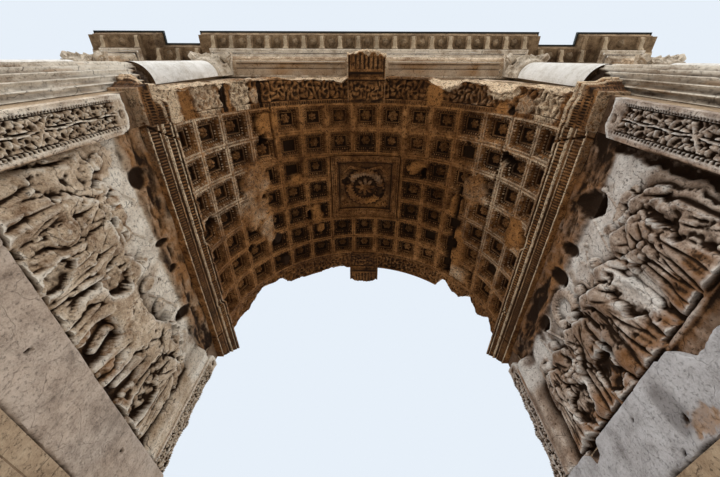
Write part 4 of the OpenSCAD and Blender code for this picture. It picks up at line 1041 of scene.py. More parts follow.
# %% Lay the dado blocks
drilled = {-1: [(-0.6, 3.02, 0.02, 0.02), (1.2, 3.1, 0.02, 0.02)],
           1: [(0.4, 3.16, 0.022, 0.022), (-0.13, 2.88, 0.02, 0.02), (0.12, 2.74, 0.025, 0.02)]}
for side, word in both_sides:
    along, share = np.meshgrid(np.linspace(-wall_y, wall_y, 190), np.linspace(0, 1, 26))
    spot = xyz(along, share * 0.66, side * 5)
    line = xyz(along[0], 0, side * 7)
    top = dado_z + 0 * along[0]
    if side > 0:
        dip = fade(abs(along[0] + 0.86), 0.22, 0.42) * 0.19 + fade(abs(along[0] - 1.27), 0.12, 0.19) * 0.14
        top = (top - dip * (1 + 0.25 * cloud(line, 0.12, 51, 3)) - 0.02 * (1 + cloud(line, 0.2, 52, 3))
               * (along[0] < -0.3))
    top = top - 0.006 * (1 + cloud(line, 0.15, 53, 3))
    z = podium_z + 0.004 + share * (top - podium_z - 0.004)
    joints = np.array([-0.62, 0.07, 0.72]) * wall_y
    near_joint = np.min(abs(along[..., None] - joints), -1)
    block = np.searchsorted(joints, along[0])
    joint = fade(near_joint, 0.004, 0.02)
    depth = 0.006 * block[None, :] % 0.013 + 0.012 * joint
    rim = np.minimum(share, 1 - share) * (top - podium_z)
    depth = depth + 0.016 * fade(rim, 0.0, 0.03 + 0.01 * cloud(spot, 0.1, 54))
    depth = depth + 0.005 * (1 + cloud(spot, 0.16, 55, 3))
    hole = spread(along, z, drilled[side], 0.4)
    rough_bit = spread(along, z, [(-0.25, 2.79, 0.16, 0.1)], 0.3, cloud(spot, 0.06, 56) * 0.5) * (side > 0)
    grey = spread(along, z, [(-0.08, 3.0, 0.13, 0.3)], 0.7, cloud(spot, 0.1, 57) * 0.4) * (side > 0)
    gap = fade(z - podium_z - 0.015 * cloud(spot, 0.09, 60, 3), 0.015, 0.035)
    depth = depth + 0.05 * hole + 0.018 * rough_bit + 0.05 * gap
    # Drilled holes and the gap at the foot get painted shade; joints and the grey patch are darker stone
    soot = hole + gap + 0.42 * grey + 0.3 * joint + 0.32 * cloud(spot, 0.55, 59, 3)
    fresh = np.clip(0.5 + 0.6 * cloud(spot, 0.5, 58, 3), 0, 0.95) * (1 - rough_bit) * (1 - grey)
    stains_and_light = dict(soot=clamped(soot), fresh=fresh, ochre=0.7 * rough_bit)
    front = xyz(side * (passage_r + depth), along, z)
    back = xyz(side * (passage_r + lining), along, z)
    piece = carved("dado_blocks_" + word, front, back, mauve if side < 0 else cool, "restored_stone", **stains_and_light)
    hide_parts("dado_" + word)

# %% [markdown]
# ## Imposts
# The imposts carry the vault. Their moulding runs through the passage and turns the
# corners to the columns. It is one profile swept along that path, with rows of eggs,
# tongues and pearls made by waves along it.

# %% The impost's profile and its carved rows
impost_profile = np.array([
    (0.000, 0.000), (0.018, 0.002), (0.02, 0.016), (0.012, 0.02), (0.02, 0.032), (0.032, 0.05), (0.044, 0.07),
    (0.054, 0.092), (0.06, 0.114), (0.052, 0.122), (0.068, 0.127), (0.07, 0.14), (0.06, 0.146), (0.066, 0.16),
    (0.078, 0.176), (0.09, 0.184), (0.104, 0.188), (0.106, 0.208), (0.098, 0.213), (0.108, 0.226), (0.12, 0.242),
    (0.13, 0.258), (0.134, 0.27), (0.128, 0.275), (0.146, 0.279), (0.148, 0.294), (0.14, 0.3), (0.15, 0.312),
    (0.152, 0.318), (0.166, 0.322), (0.169, 0.336), (0.169, 0.348)])
# Each carved row: its first and last line in the profile, pitch, depth and sharpness
bands = ((3, 10, 0.04, 0.008, 0.6), (18, 24, 0.047, 0.014, 0.9), (26, 29, 0.024, 0.008, 0.6))
pale_lines = {1: 0.9, 2: 0.9, 10: 0.45, 11: 0.45, 15: 0.95, 16: 1.0, 17: 1.0, 24: 0.85, 25: 0.85, 29: 0.5, 30: 0.4,
              31: 0.4}
# Lines darkened by grime and painted shade, most of all on the undersides of the steps
grime_and_shade_lines = {3: 0.35, 4: 0.2, 5: 0.16, 6: 0.12, 7: 0.1, 8: 0.2, 9: 0.6, 12: 0.75, 13: 0.55, 14: 0.5, 18: 0.5,
               23: 0.5, 26: 0.6, 27: 0.3, 28: 0.5}
# The blocks over the near jamb were carved in another pattern
block_out = np.interp(impost_profile[:, 1],
                      [0, 0.004, 0.088, 0.096, 0.165, 0.172, 0.235, 0.25, 0.268, 0.275, 0.348],
                      [0.03, 0.042, 0.05, 0.056, 0.088, 0.096, 0.128, 0.146, 0.148, 0.142, 0.169])
block_ticks = ((0.05, 0.088, 0.03, 0.01), (0.11, 0.16, 0.034, 0.016), (0.18, 0.232, 0.03, 0.016),
               (0.276, 0.34, 0.026, 0.01))
print("impost stands out", impost_profile[:, 0].max(), "at its top edge")


# %% Sweep the imposts
def walk_of(*steps):
    """How far each point of an outline is from its start, from the steps between points."""
    return np.concatenate([[0], np.cumsum(np.hypot(*steps))])


def of_line(marks):
    """The marks of single profile lines as one column over the whole profile."""
    return np.array([marks.get(k, 0.0) for k in range(len(impost_profile))])[:, None]


deep_in = 0.3
for side, word in both_sides:
    run = np.linspace(-wall_y, wall_y, 422)
    # The moulding turns the corners and dies against the columns: to_column is 1 there and 0 in the passage
    to_column = np.concatenate([np.linspace(1, 0, 24), np.zeros(len(run) - 2), np.linspace(0, 1, 24)])
    base_y = np.concatenate([np.full(24, -wall_y), run[1:-1], np.full(24, wall_y)])
    out_x = np.concatenate([np.zeros(23), np.full(len(run), -1.0), np.zeros(23)])
    out_y = np.concatenate([np.full(24, -1.0), np.zeros(len(run) - 2), np.full(24, 1.0)])
    walked = walk_of(0.34 * np.diff(to_column), np.diff(base_y))
    rise, travel = np.meshgrid(impost_profile[:, 1], walked, indexing="ij")
    spot = xyz(travel, rise, side * 9)
    here_y = np.broadcast_to(base_y, rise.shape)
    block = smooth(-here_y, 1.915, 1.935)
    proud = impost_profile[:, :1] * (1 - block) + block_out[:, None] * block
    wear = np.clip(0.05 + 0.7 * smooth(cloud(spot, 0.4, 61, 2), 0.1, 0.6), 0, 0.85)
    cut_in = np.zeros(rise.shape)
    for first, last, pitch, deep, sharp in bands:
        wave = abs(np.sin(pi * travel / pitch))
        cut_in[first:last] = (deep * (1 - wave) ** sharp * (1 - block))[first:last]
    for low, high, pitch, deep in block_ticks:
        tick = fade(abs(np.sin(pi * travel / pitch)), 0.35, 0.75)
        cut_in = cut_in + deep * tick * block * (rise > low) * (rise < high)
    start, lean = (-1.93, 0.23) if side < 0 else (-1.87, 0.15)
    split = fade(abs(here_y - start - lean * rise / 0.348 - 0.02 * cloud(spot, 0.1, 67)), 0.006, 0.02)
    split = np.maximum(split, fade(abs(here_y - 1.8 + 0.01 * cloud(spot, 0.1, 67)), 0.003, 0.012))
    chip = smooth(cloud(spot, 0.17, 62, 3), 0.34, 0.6) * smooth(rise, 0.13, 0.32) * 0.05
    chip = chip + 0.06 * spread(here_y, rise, [(-0.15, 0.33, 0.12, 0.06)], 0.4, cloud(spot, 0.05, 68) * 0.4)
    from_corner = abs(travel - walked[23]) + 0.07 * cloud(spot, 0.1, 70, 3)
    fallen = fade(from_corner, 0.05, 0.18) * smooth(rise, 0.13, 0.25) * (0.9 if side < 0 else 0.4)
    proud = (proud - cut_in * (1 - wear) * (1 - fallen) - chip - 0.035 * split
             - 0.004 * (1 + cloud(spot, 0.05, 63, 2)))
    proud = proud * (1 - 0.62 * fallen) - 0.012 * fallen * (1 + cloud(spot, 0.06, 71, 3))
    proud = np.maximum(proud, -0.004)
    z = impost_z + rise * (spring_z - impost_z) / impost_profile[-1, 1]
    column = shaft_x - np.sqrt((radius_at(z) + 0.001) ** 2 - np.maximum(proud, 0) ** 2)
    base_x = passage_r + to_column * (column - passage_r)
    front = xyz(side * (base_x + out_x * proud), base_y + out_y * proud, z)
    back_x = passage_r + deep_in + to_column * (column - passage_r - deep_in)
    back = xyz(side * back_x, base_y * (1 - 0.1 / wall_y), z)
    pale = of_line(pale_lines) * (0.85 + 0.5 * cloud(spot, 0.5, 65, 3)) * (1 - block)
    dirty_and_shaded = of_line(grime_and_shade_lines) * (1 - block)
    pale = (pale + block * (0.35 * (rise < 0.03) + 0.5 * (rise > 0.24) * (rise < 0.272)
                            + 0.3 * (rise > 0.16) * (rise < 0.175)))
    dirty_and_shaded = dirty_and_shaded + (0.42 if side < 0 else 0.3) * block * (rise > 0.045) * (1 - fallen)
    pale = pale + block * (0.1 + 0.7 * smooth(rise + 0.03 * cloud(spot, 0.08, 69), 0.29, 0.33))
    pale = pale + 0.3 * smooth(-here_y, 0.6, 1.7) * (cut_in < 0.003) * (1 - 0.8 * block)
    pale = pale + 0.8 * fallen
    # The cuts of the carved rows get painted shade
    soot = 0.14 + dirty_and_shaded + cut_in * 60 * (1 - fallen) + split - 1.1 * pale + 0.3 * cloud(spot, 0.5, 64, 3)
    stains_and_light = dict(soot=clamped(soot), fresh=np.clip(pale + chip * 8 - split, 0, 0.95),
                  ochre=0.5 * smooth(cloud(spot, 0.3, 66, 2), 0.0, 0.6) * (1 - block))
    piece = carved("impost_mouldings_" + word, front, back, grimy, "weathered_marble", **stains_and_light)
    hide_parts("impost_" + word)

# %% [markdown]
# ## Arch rings
# A ring of stones edges the vault at each end. Its underside carries a leaf scroll
# between two fillets, and its face three flat bands. Parts of the edge have fallen,
# most at the far end, where the breaks show against the sky. The ring's outline is
# walked from the vault to the face, and where it is broken its points move to a
# sloping rough plane.

# %% Where the rings are broken
def ring_break(angle, end):
    """How far the edge of the ring is broken back at each angle, in metres."""
    if end > 0:
        marks = [-90, -79, -72, -66, -60, -55, -47, -45.5, -30, -12, -8, 8, 20, 43, 45, 48, 51, 55, 58, 61, 63.5,
                 66, 71, 75, 78, 82, 90]
        left = [0.05, 0.12, 0.1, 0.22, 0.34, 0.26, 0.25, 0.05, 0.0, 0.05, 0.0, 0.0, 0.01, 0.0, 0.22, 0.28, 0.12,
                0.06, 0.07, 0.2, 0.33, 0.2, 0.05, 0.16, 0.3, 0.1, 0.02]
    else:
        marks = [-90, -81, -63, -61.5, -60, -40, -14, -11, -8, 8, 26, 28, 33, 39, 41, 50, 51.5, 57, 61, 63, 66, 80,
                 90]
        left = [0.02, 0.05, 0.04, 0.16, 0.03, 0.02, 0.05, 0.12, 0.02, 0.0, 0.02, 0.1, 0.16, 0.08, 0.03, 0.05, 0.13,
                0.17, 0.1, 0.04, 0.03, 0.06, 0.02]
    return np.interp(np.degrees(angle), marks, left)


print("deepest break", ring_break(np.radians(-60), 1))

# %% The ring's outline and its odd blocks
soffit_w = ring_y - lining_y
ring_face = [(ring_y, passage_r), (ring_y - 0.03, passage_r + 0.014), (ring_y - 0.03, passage_r + 0.124),
             (ring_y - 0.015, passage_r + 0.13), (ring_y - 0.015, passage_r + 0.25), (ring_y, passage_r + 0.258),
             (ring_y, passage_r + 0.376)]
# Blocks and breaks of the near ring's underside: degrees from the top, walk from the vault, their half
# sizes, and how pale, rusty, sooty and plain each one is
ring_blocks = [(-84, 0.25, 5.0, 0.35, 0.85, 0.0, 0.0, 0.2), (-76.7, 0.25, 2.8, 0.3, 0.1, 0.4, 0.2, 1.0),
               (-68, 0.25, 6.0, 0.35, 0.55, 0.0, 0.0, 0.0), (-61, 0.25, 1.0, 0.4, 0.0, 0.0, 1.0, 0.0),
               (-59.2, 0.25, 0.9, 0.3, 0.1, 0.5, 0.1, 0.6), (-54, 0.25, 4.2, 0.35, 0.8, 0.0, 0.0, 0.0),
               (-48.2, 0.2, 1.8, 0.13, 0.45, 0.2, 0.0, 0.9), (-45.7, 0.25, 0.8, 0.4, 0.0, 0.0, 1.0, 0.0),
               (29.5, 0.22, 3.5, 0.3, 0.15, 0.9, 0.0, 1.0), (36, 0.37, 4.2, 0.12, 0.9, 0.0, 0.0, 0.6),
               (45, 0.2, 10.0, 0.18, 0.15, 0.0, 0.15, 0.0), (57.5, 0.35, 6.3, 0.14, 0.8, 0.0, 0.0, 0.4),
               (58.5, 0.08, 2.6, 0.1, 0.1, 0.8, 0.0, 0.6), (62.7, 0.06, 1.3, 0.07, 0.0, 0.0, 1.0, 0.0),
               (67.5, 0.18, 3.5, 0.14, 0.45, 0.1, 0.0, 0.9), (76.5, 0.25, 5.7, 0.35, 0.6, 0.0, 0.0, 0.0)]
print("soffit band", round(soffit_w, 3), "wide,", len(ring_blocks), "odd blocks")

# %% Carve the arch rings
both_ends = ((-1, "front"), (1, "back"))
for end, word in both_ends:
    soffit = lining_y + np.concatenate([[0, 0.008, 0.03, 0.052, 0.058, 0.072, 0.078], np.linspace(0.09, 0.43, 25),
                                        [0.436, 0.445, soffit_w]])
    profile = [(y, passage_r) for y in soffit[:-1]]
    for (y0, r0), (y1, r1) in zip(ring_face[:-1], ring_face[1:]):
        pieces = max(1, round(hypot(y1 - y0, r1 - r0) / 0.04))
        profile += [(y0 + (y1 - y0) * k / pieces, r0 + (r1 - r0) * k / pieces) for k in range(pieces)]
    profile = np.array(profile + [ring_face[-1]])
    arc_line = np.linspace(-pi / 2, pi / 2, 460)
    walked = walk_of(*np.diff(profile, axis=0).T)
    walk, angle = np.meshgrid(walked, arc_line, indexing="ij")
    y = np.broadcast_to(profile[:, :1], walk.shape).copy()
    r = np.broadcast_to(profile[:, 1:], walk.shape).copy()
    on_soffit = np.broadcast_to((np.arange(len(profile)) < len(soffit) - 1)[:, None], walk.shape)
    length = angle * passage_r
    spot = xyz(length, walk, end)
    # A leafy scroll runs between a fillet with small teeth and the plain outer edge
    scroll = 0.05 * leaf_scroll(length, walk - 0.26, 0.3, spot) + 0.01 * cloud(spot, 0.05, 77, 2)
    scroll = scroll * (walk > 0.085) * (walk < 0.433)
    teeth = 0.022 * (1 - abs(np.sin(pi * length / 0.047))) * (walk > 0.006) * (walk < 0.055)
    sink = np.interp(walk, [0, 0.008, 0.052, 0.056, 0.074, 0.08, 0.432, 0.438, soffit_w],
                     [0.0, 0.004, 0.004, 0.012, 0.012, 0.058, 0.058, 0.004, 0.0]) - scroll + teeth
    blocks = np.zeros((4, *walk.shape))
    for at, across, half_a, half_w, *marks in ring_blocks if end < 0 else []:
        here = (spread(np.degrees(angle), walk, [(at, across, half_a, half_w)], 0.3,
                       0.22 * cloud(spot, 0.1, 78, 2)) * on_soffit)
        for k, mark in enumerate(marks):
            blocks[k] = blocks[k] * (1 - here) + mark * here
    pale_block, rusty_block, black_block, plain_block = blocks
    sink = sink * (1 - 0.85 * plain_block) + 0.012 * plain_block + 0.04 * black_block
    wear = np.clip(0.1 + 0.65 * smooth(cloud(spot, 0.45, 71, 2), 0.1, 0.6), 0, 0.85)
    sink = np.where(on_soffit, sink * (1 - 0.6 * wear) + 0.02 * wear, 0.0)
    lost = ring_break(angle, end) + 0.035 * cloud(spot * (1, 0, 1), 0.14, 72, 3) * (ring_break(angle, end) > 0.015)
    edge_y = ring_y - np.clip(lost, 0, 0.4)
    past = walk - (edge_y - lining_y)
    share = clamped(past / (walked[-1] - (edge_y - lining_y)))
    plane_y = edge_y + (ring_y - 0.005 - edge_y) * share
    plane_r = passage_r + (profile[-1, 1] - passage_r) * share
    broken = smooth(past, 0, 0.02) * smooth(lost, 0.012, 0.05)
    ragged = 0.03 * cloud(spot, 0.09, 73, 4)
    y = y * (1 - broken) + (plane_y + ragged - 0.03) * broken
    r = (r * (1 - broken) + plane_r * broken + sink * (1 - broken) + 0.003 * (1 + cloud(spot, 0.06, 74, 2))
         * on_soffit)
    key_gap = (abs(r * np.sin(angle)) < 0.37) & (angle < 1)
    r = np.where(key_gap & on_soffit, np.maximum(r, passage_r + 0.03), r)
    r = np.clip(r, passage_r, ring_r - hair)
    front = xyz(r * np.sin(angle), end * np.clip(y, lining_y, ring_y), spring_z + r * np.cos(angle))
    stops = [0, soffit_w, walked[-1]]
    back_y = np.interp(walk, stops, [lining_y, lining_y, ring_y - 0.05])
    back_r = np.interp(walk, stops, [passage_r + 0.3, passage_r + 0.37, passage_r + 0.376])
    back = xyz(back_r * np.sin(angle), end * back_y, spring_z + back_r * np.cos(angle))
    # The front edge is paler: wear, and a painted highlight on the near ring
    worn_and_lit_edge = smooth(walk, 0.435, 0.45) * (0.55 + 0.4 * smooth(pale_block, 0.2, 0.6) if end < 0 else 0.15)
    # The scroll's hollows get painted shade and its crests a painted highlight; the middle of the arc is darker
    hollow = blurred(-sink, 2) + sink
    middle_arc = spread(np.degrees(angle), 0, [(-5, 0, 46, 1)], 0.5)
    dirt_and_shade = ((0.16 if end < 0 else 0.05) + 26 * hollow * on_soffit + 0.35 * cloud(spot, 0.5, 75, 3)
            + 0.3 * middle_arc * on_soffit)
    crest = 16 * np.clip(-hollow, 0, 0.03) * on_soffit * (1 - 0.7 * middle_arc)
    stains_and_light = dict(
        soot=clamped(dirt_and_shade * (1 - worn_and_lit_edge * 0.7) * (1 - 0.5 * plain_block) + black_block - 0.35 * pale_block),
        fresh=np.clip(worn_and_lit_edge * (0.6 + 0.5 * broken) + broken * (0.35 + 0.6 * cloud(spot, 0.25, 79, 3)) + crest
                      + pale_block * (1 - 12 * hollow), 0, 0.95),
        ochre=clamped(0.5 * smooth(cloud(spot, 0.4, 76, 2), 0.05, 0.6) * (1 - worn_and_lit_edge) + 0.35 * broken * (1 - worn_and_lit_edge)
                      + rusty_block))
    piece = carved("ring_of_stones_" + word, front, back, grimy, **stains_and_light)
    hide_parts("arch_ring_" + word)

# %% [markdown]
# ## Keystones
# Each keystone is a scrolled bracket under the beam. Flutes run along its underside,
# and a leaf hugs its lower scroll. Its outline in section is walked from the vault out
# and up, and the carving is laid over that outline across the stone's width.

# %% Carve the keystones
key_half = (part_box("keystone_front")[1].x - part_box("keystone_front")[0].x) / 2
key_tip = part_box("keystone_back")[1].y
key_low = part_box("keystone_back")[0].z
scroll_r = 0.115
body_tip = key_tip - 0.085
turns = np.radians(np.linspace(-90, 0, 14))
scroll = [(body_tip - scroll_r + scroll_r * cos(t), key_low + scroll_r + scroll_r * sin(t)) for t in turns]
key_line = [(y, key_low + 0.05) for y in np.linspace(lining_y, ring_y, 24)] + [(ring_y + 0.04, key_low + 0.01)]
key_line += [(y, key_low) for y in np.linspace(ring_y + 0.06, body_tip - scroll_r, 12)] + scroll[1:]
key_line += [(body_tip - 0.03, key_low + 0.17), (body_tip - 0.05, key_low + 0.23),
             (body_tip - 0.06, key_low + 0.29), (body_tip - 0.055, key_low + 0.34),
             (body_tip - 0.03, key_low + 0.39), (body_tip - 0.02, key_low + 0.44), (body_tip - 0.02, beam_z - hair)]
key_line = np.array(key_line)
way = np.gradient(key_line, axis=0)
away = np.stack([way[:, 1], -way[:, 0]], -1) / np.hypot(*way.T)[:, None]
walked = walk_of(*np.diff(key_line, axis=0).T)
for end, word in both_ends:
    walk, across_key = np.meshgrid(walked, np.linspace(-key_half, key_half, 58), indexing="ij")
    spot = xyz(across_key, walk, end)
    scroll_at = walked[36]
    low_leaf = leaf_scroll(across_key + 0.13, walk - 0.22, 0.25, spot) * smooth(walk, 0.05, 0.08) * (walk < 0.4)
    flutes = 0.02 * low_leaf * smooth(key_half - abs(across_key), 0.03, 0.06)
    leaf_half = 0.33 * np.sqrt(clamped(1 - (np.maximum(walk - scroll_at, 0) / 0.3) ** 2)) * (walk > walked[26])
    spine = clamped(1 - (across_key / np.maximum(leaf_half, 0.001)) ** 2)
    veins = abs(np.cos(across_key * pi / 0.085 + 0.5 * cloud(spot, 0.12, 86, 2)))
    leaf = 0.085 * np.sqrt(spine) * (0.8 + 0.2 * veins) + 0.008 * (abs(across_key) < 0.016) * (spine > 0)
    rim = 0.014 * (abs(across_key) > key_half - 0.035) * (walk > 0.45)
    wear = np.clip(0.1 + 0.5 * smooth(cloud(spot, 0.2, 81, 2), 0.0, 0.6), 0, 0.7)
    lift = (np.maximum(leaf * (leaf_half > 0.01), rim) - (0.02 - flutes) * (walk < 0.42)) * (1 - wear * 0.6)
    lift = lift + 0.006 * cloud(spot, 0.05, 82, 3)
    place = key_line[:, None, :] + away[:, None, :] * lift[..., None]
    y = np.clip(place[..., 0], lining_y, key_tip)
    z = np.clip(place[..., 1], key_low, beam_z - hair)
    front = xyz(across_key, end * y, z)
    back = xyz(across_key, end * np.interp(walk, [0, walked[-1]], [lining_y, ring_y + 0.1]),
               np.interp(walk, [0, 0.3, walked[-1]], [key_low + 0.35, beam_z - hair, beam_z - hair]))
    edge_light = (abs(across_key) > key_half - 0.024) * (0.3 + 0.5 * (walk > 0.45))
    edge_light = edge_light + smooth(walk + 0.06 * cloud(spot, 0.06, 85), walked[40], walked[43]) * 0.9
    # Hollows of the carving get painted shade
    hollow = blurred(lift, 2) - lift
    stains_and_light = dict(soot=clamped(0.44 + 60 * hollow + 0.4 * cloud(spot, 0.12, 83, 3) - edge_light),
                  fresh=np.clip(edge_light * (1 if end < 0 else 0.3), 0, 0.85),
                  ochre=0.45 * smooth(cloud(spot, 0.25, 84, 2), 0.0, 0.6))
    piece = carved("keystone_bracket_" + word, front, back, grimy, **stains_and_light)
    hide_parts("keystone_" + word)

# %% [markdown]
# ## Columns
# The inner columns are half round. Their lower parts are old and fluted and end in a
# ragged break, and plain white drums were set above. The old part is a grid round the
# half shaft, cut in by its flutes, and it stands a little proud of the new drums.

# %% Set up the inner shafts
break_z, flute_count = 6.3, 12


def half_round(x, end, r, turn, z):
    """Points on half a column that stands at x, out from the front or back wall."""
    return xyz(x + r * np.cos(turn), end * (wall_y + r * np.sin(turn)), z)


for (end, word), (side, hand) in product(both_ends, both_sides):
    turn, share = np.meshgrid(np.radians(np.linspace(1.5, 178.5, 97)), np.linspace(0, 1, 42))
    ends = xyz(side * 2 + np.cos(turn[0]), np.sin(turn[0]) * end, 0)
    top = break_z + 0.17 * cloud(ends, 0.45, 91, 3) - 0.05 - 0.24 * smooth(-side * np.cos(turn[0]), 0.35, 0.85)
    z = shaft_foot + hair + share ** 0.9 * (top - shaft_foot)
    spot = xyz(side * 2 + np.cos(turn), np.sin(turn) * end, z)
    wave = abs(np.sin(turn * flute_count))
    fillet = smooth(wave, 0.18, 0.42)
    flute = 0.034 * fillet * np.sqrt(clamped(wave)) * smooth(z - shaft_foot, 0.02, 0.09)
    chipped = smooth(cloud(spot, 0.24, 92, 3), 0.25, 0.6)
    flute = flute * (1 - 0.6 * chipped) + 0.02 * chipped * (1 - fillet) + 0.004 * (1 + cloud(spot, 0.09, 93, 2))
    tear = smooth(share, 0.955, 1.0)
    r = radius_at(z) - 0.0005 - np.clip(flute + tear * 0.03, 0, 0.06)
    front = half_round(side * shaft_x, end, r, turn, z)
    back = xyz(side * shaft_x + 0.94 * r * np.cos(turn), end * wall_y, z)
    # Flutes get painted shade by their depth, the torn top painted shade under the new drum, and the fillets
    # between flutes a painted highlight; the right shafts are darker
    soot = 22 * (flute - 0.022) + (0.2 if side > 0 else 0) + 0.3 * cloud(spot, 0.5, 94, 3) + 0.9 * tear
    fresh = ((0.55 if side < 0 else 0.25) + 0.6 * cloud(spot, 0.7, 95, 2) + (1 - fillet) * 0.4
             + 0.5 * smooth(share, 0.86, 0.93))
    ochre = tear * 0.5 + 0.6 * smooth(cloud(spot * (1, 1, 0.25), 0.12, 96, 2), 0.1, 0.5)
    stains_and_light = dict(soot=clamped(soot), fresh=np.clip(fresh, 0, 0.9) * (1 - tear), ochre=clamped(ochre))
    old = carved("old_shaft_%s_%s" % (hand, word), front, back, cream, **stains_and_light)
    # Where the old shaft is broken away, the underside of the new drum shows over a thinner core
    levels = [break_z - 0.35, break_z - 0.065, break_z - 0.06, break_z - 0.058, break_z + 0.8, shaft_top]
    turn, z = np.meshgrid(np.radians(np.linspace(1.5, 178.5, 33)), levels)
    r = radius_at(z) - np.where(z < break_z - 0.062, 0.085, 0.006)
    r[-1] += 0.004
    shaded = np.array([0.9, 0.6, 0.55, 0.0, 0.0, 0.0])[:, None] + (0.16 if side > 0 else 0.06)
    rust = np.array([0, 0.9, 0.9, 0, 0, 0])[:, None]
    back = xyz(side * shaft_x + 0.94 * r * np.cos(turn), end * wall_y, z)
    carved("new_drum_%s_%s" % (hand, word), half_round(side * shaft_x, end, r, turn, z), back, repaired,
           "restored_stone", soot=shaded, fresh=0, ochre=rust)
    if side < 0:
        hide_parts("inner_shafts_" + word)

# %% [markdown]
# ## Capitals
# Each capital is a bell with two rows of curled leaves, a scroll under each corner and a
# hollow-sided slab. One leaf and one scroll are drawn once and set round every bell.
# Only those outside the walls are made.

# %% Draw one leaf and one scroll
def thin_leaf(front, back):
    """A thin closed leaf from the grids of its two faces."""
    n, (rows, cols) = front[..., 0].size, front.shape[:2]
    at = np.arange(n).reshape(rows, cols)
    faces = [[at[i, j], at[i, j + 1], at[i + 1, j + 1], at[i + 1, j]] for i in range(rows - 1)
             for j in range(cols - 1)]
    faces += [[n + k for k in face[::-1]] for face in faces]
    rim = [*at[0, :-1], *at[:-1, -1], *at[-1, :0:-1], *at[:0:-1, 0]]
    faces += [[a, b, n + b, n + a][::-1] for a, b in zip(rim, rim[1:] + rim[:1])]
    return np.concatenate([front.reshape(-1, 3), back.reshape(-1, 3)]), faces


def acanthus():
    """A leaf one unit wide and high: ribbed, lobed, and curled out at its tip."""
    t, s = np.meshgrid(np.linspace(0, 1, 9), np.linspace(-1, 1, 9), indexing="ij")
    lobe = 0.8 + 0.2 * abs(np.sin(t * pi * 3.3))
    half = 0.5 * lobe * (1 - 0.72 * smooth(t, 0.62, 1.0)) * (0.72 + 0.28 * np.sin(t * pi))
    out = 0.1 + 0.22 * smooth(t, 0.25, 0.9) + 0.42 * smooth(t, 0.7, 1.0) + 0.05 * np.cos(s * pi * 2) - 0.1 * s * s
    up = t - 0.26 * smooth(t, 0.82, 1.0)
    front = xyz(half * s, out, up)
    back = xyz(half * s * 0.94, out - 0.09 - 0.05 * t, up - 0.05 * smooth(t, 0.8, 1.0))
    return thin_leaf(front, back)


def scroll_shape():
    """A band wound into a spiral of radius 1 and width 1, like a watch spring, with a solid core."""
    steps, sides = 22, 12
    turns = np.linspace(0, 2.1 * pi * 2, steps)
    r = 1.0 - 0.72 * np.linspace(0, 1, steps) ** 0.8
    points, faces = [], []
    for turn, reach in zip(turns, r):
        for width, far in ((-0.5, reach), (0.5, reach), (0.42, reach - 0.17), (-0.42, reach - 0.17)):
            points.append((width, far * cos(turn), far * sin(turn)))
    for k in range(steps - 1):
        a = 4 * k
        faces += [[a + i, a + (i + 1) % 4, a + 4 + (i + 1) % 4, a + 4 + i] for i in range(4)]
    faces += [[3, 2, 1, 0], [4 * steps - 4 + i for i in range(4)]]
    core = len(points)
    for width in (-0.34, 0.34):
        for turn in [k * tau / sides for k in range(sides)]:
            points.append((width, 0.86 * cos(turn), 0.86 * sin(turn)))
    faces += [[core + k, core + (k + 1) % sides, core + sides + (k + 1) % sides, core + sides + k]
              for k in range(sides)]
    faces += [[core + k for k in range(sides)][::-1], [core + sides + k for k in range(sides)]]
    return np.array(points), faces


print("leaf and scroll ready")

# %% Build the capitals
cap_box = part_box("capitals_front")
cap_foot, cap_h = cap_box[0].z, cap_box[1].z - cap_box[0].z
outer_x = cap_box[1].x + wall_y + cap_box[0].y


def ways_round(degrees, side, end):
    """The ways out and sideways at an angle round a column, which starts at the wall."""
    turn = radians(degrees)
    out = np.array([-side * cos(turn), end * sin(turn), 0])
    return out, np.array([out[1], -out[0], 0])


for end, word in both_ends:
    leaf_at, leaf_axes, scroll_at, scroll_axes = [], [], [], []
    for x in (-outer_x, -shaft_x, shaft_x, outer_x):
        corner, side = abs(x) > shaft_x + 0.1, 1 if x > 0 else -1
        foot_at = np.array([x, end * wall_y, cap_foot])
        # A corner column shows three quarters of its round, and the others half of it
        last = 260 if corner else 170
        for low, high, shift in ((0.04, 0.36, 15), (0.05, 0.6, 0)):
            for degrees in np.arange(shift, last + 10.1, 30):
                if 10 <= degrees <= last:
                    out, wide = ways_round(degrees, side, end)
                    leaf_at.append(foot_at + (0, 0, low * cap_h) + out * (neck_r + 0.02))
                    leaf_axes.append([wide * 0.185, out * 0.16, (0, 0, (high - low) * cap_h)])
        for degrees in ((45, 135, 225) if corner else (45, 135)):
            out, wide = ways_round(degrees, side, end)
            for way in (-1, 1):
                scroll_at.append(foot_at + (0, 0, 0.74 * cap_h) + out * 0.44 + wide * 0.045 * way)
                scroll_axes.append([wide * 0.07, out * 0.092, (0, 0, 0.092)])
    strewn("capital_leaves_" + word, acanthus(), leaf_at, leaf_axes, cream, "carved_marble",
           soot=np.random.default_rng(3).uniform(0.0, 0.35, len(leaf_at)), fresh=0.3, ochre=0.1)
    strewn("capital_scrolls_" + word, scroll_shape(), scroll_at, scroll_axes, cream, "carved_marble",
           soot=0.12, fresh=0.3, ochre=0.1)
print("capitals dressed with leaves")

# %% [markdown]
# ## Spandrels
# The wall over the ring has three corners. In each half a winged figure leans toward
# the keystone with a wreath in its hand. The grid fans out from the ring to the wall's
# straight edges, so the stone fits both.

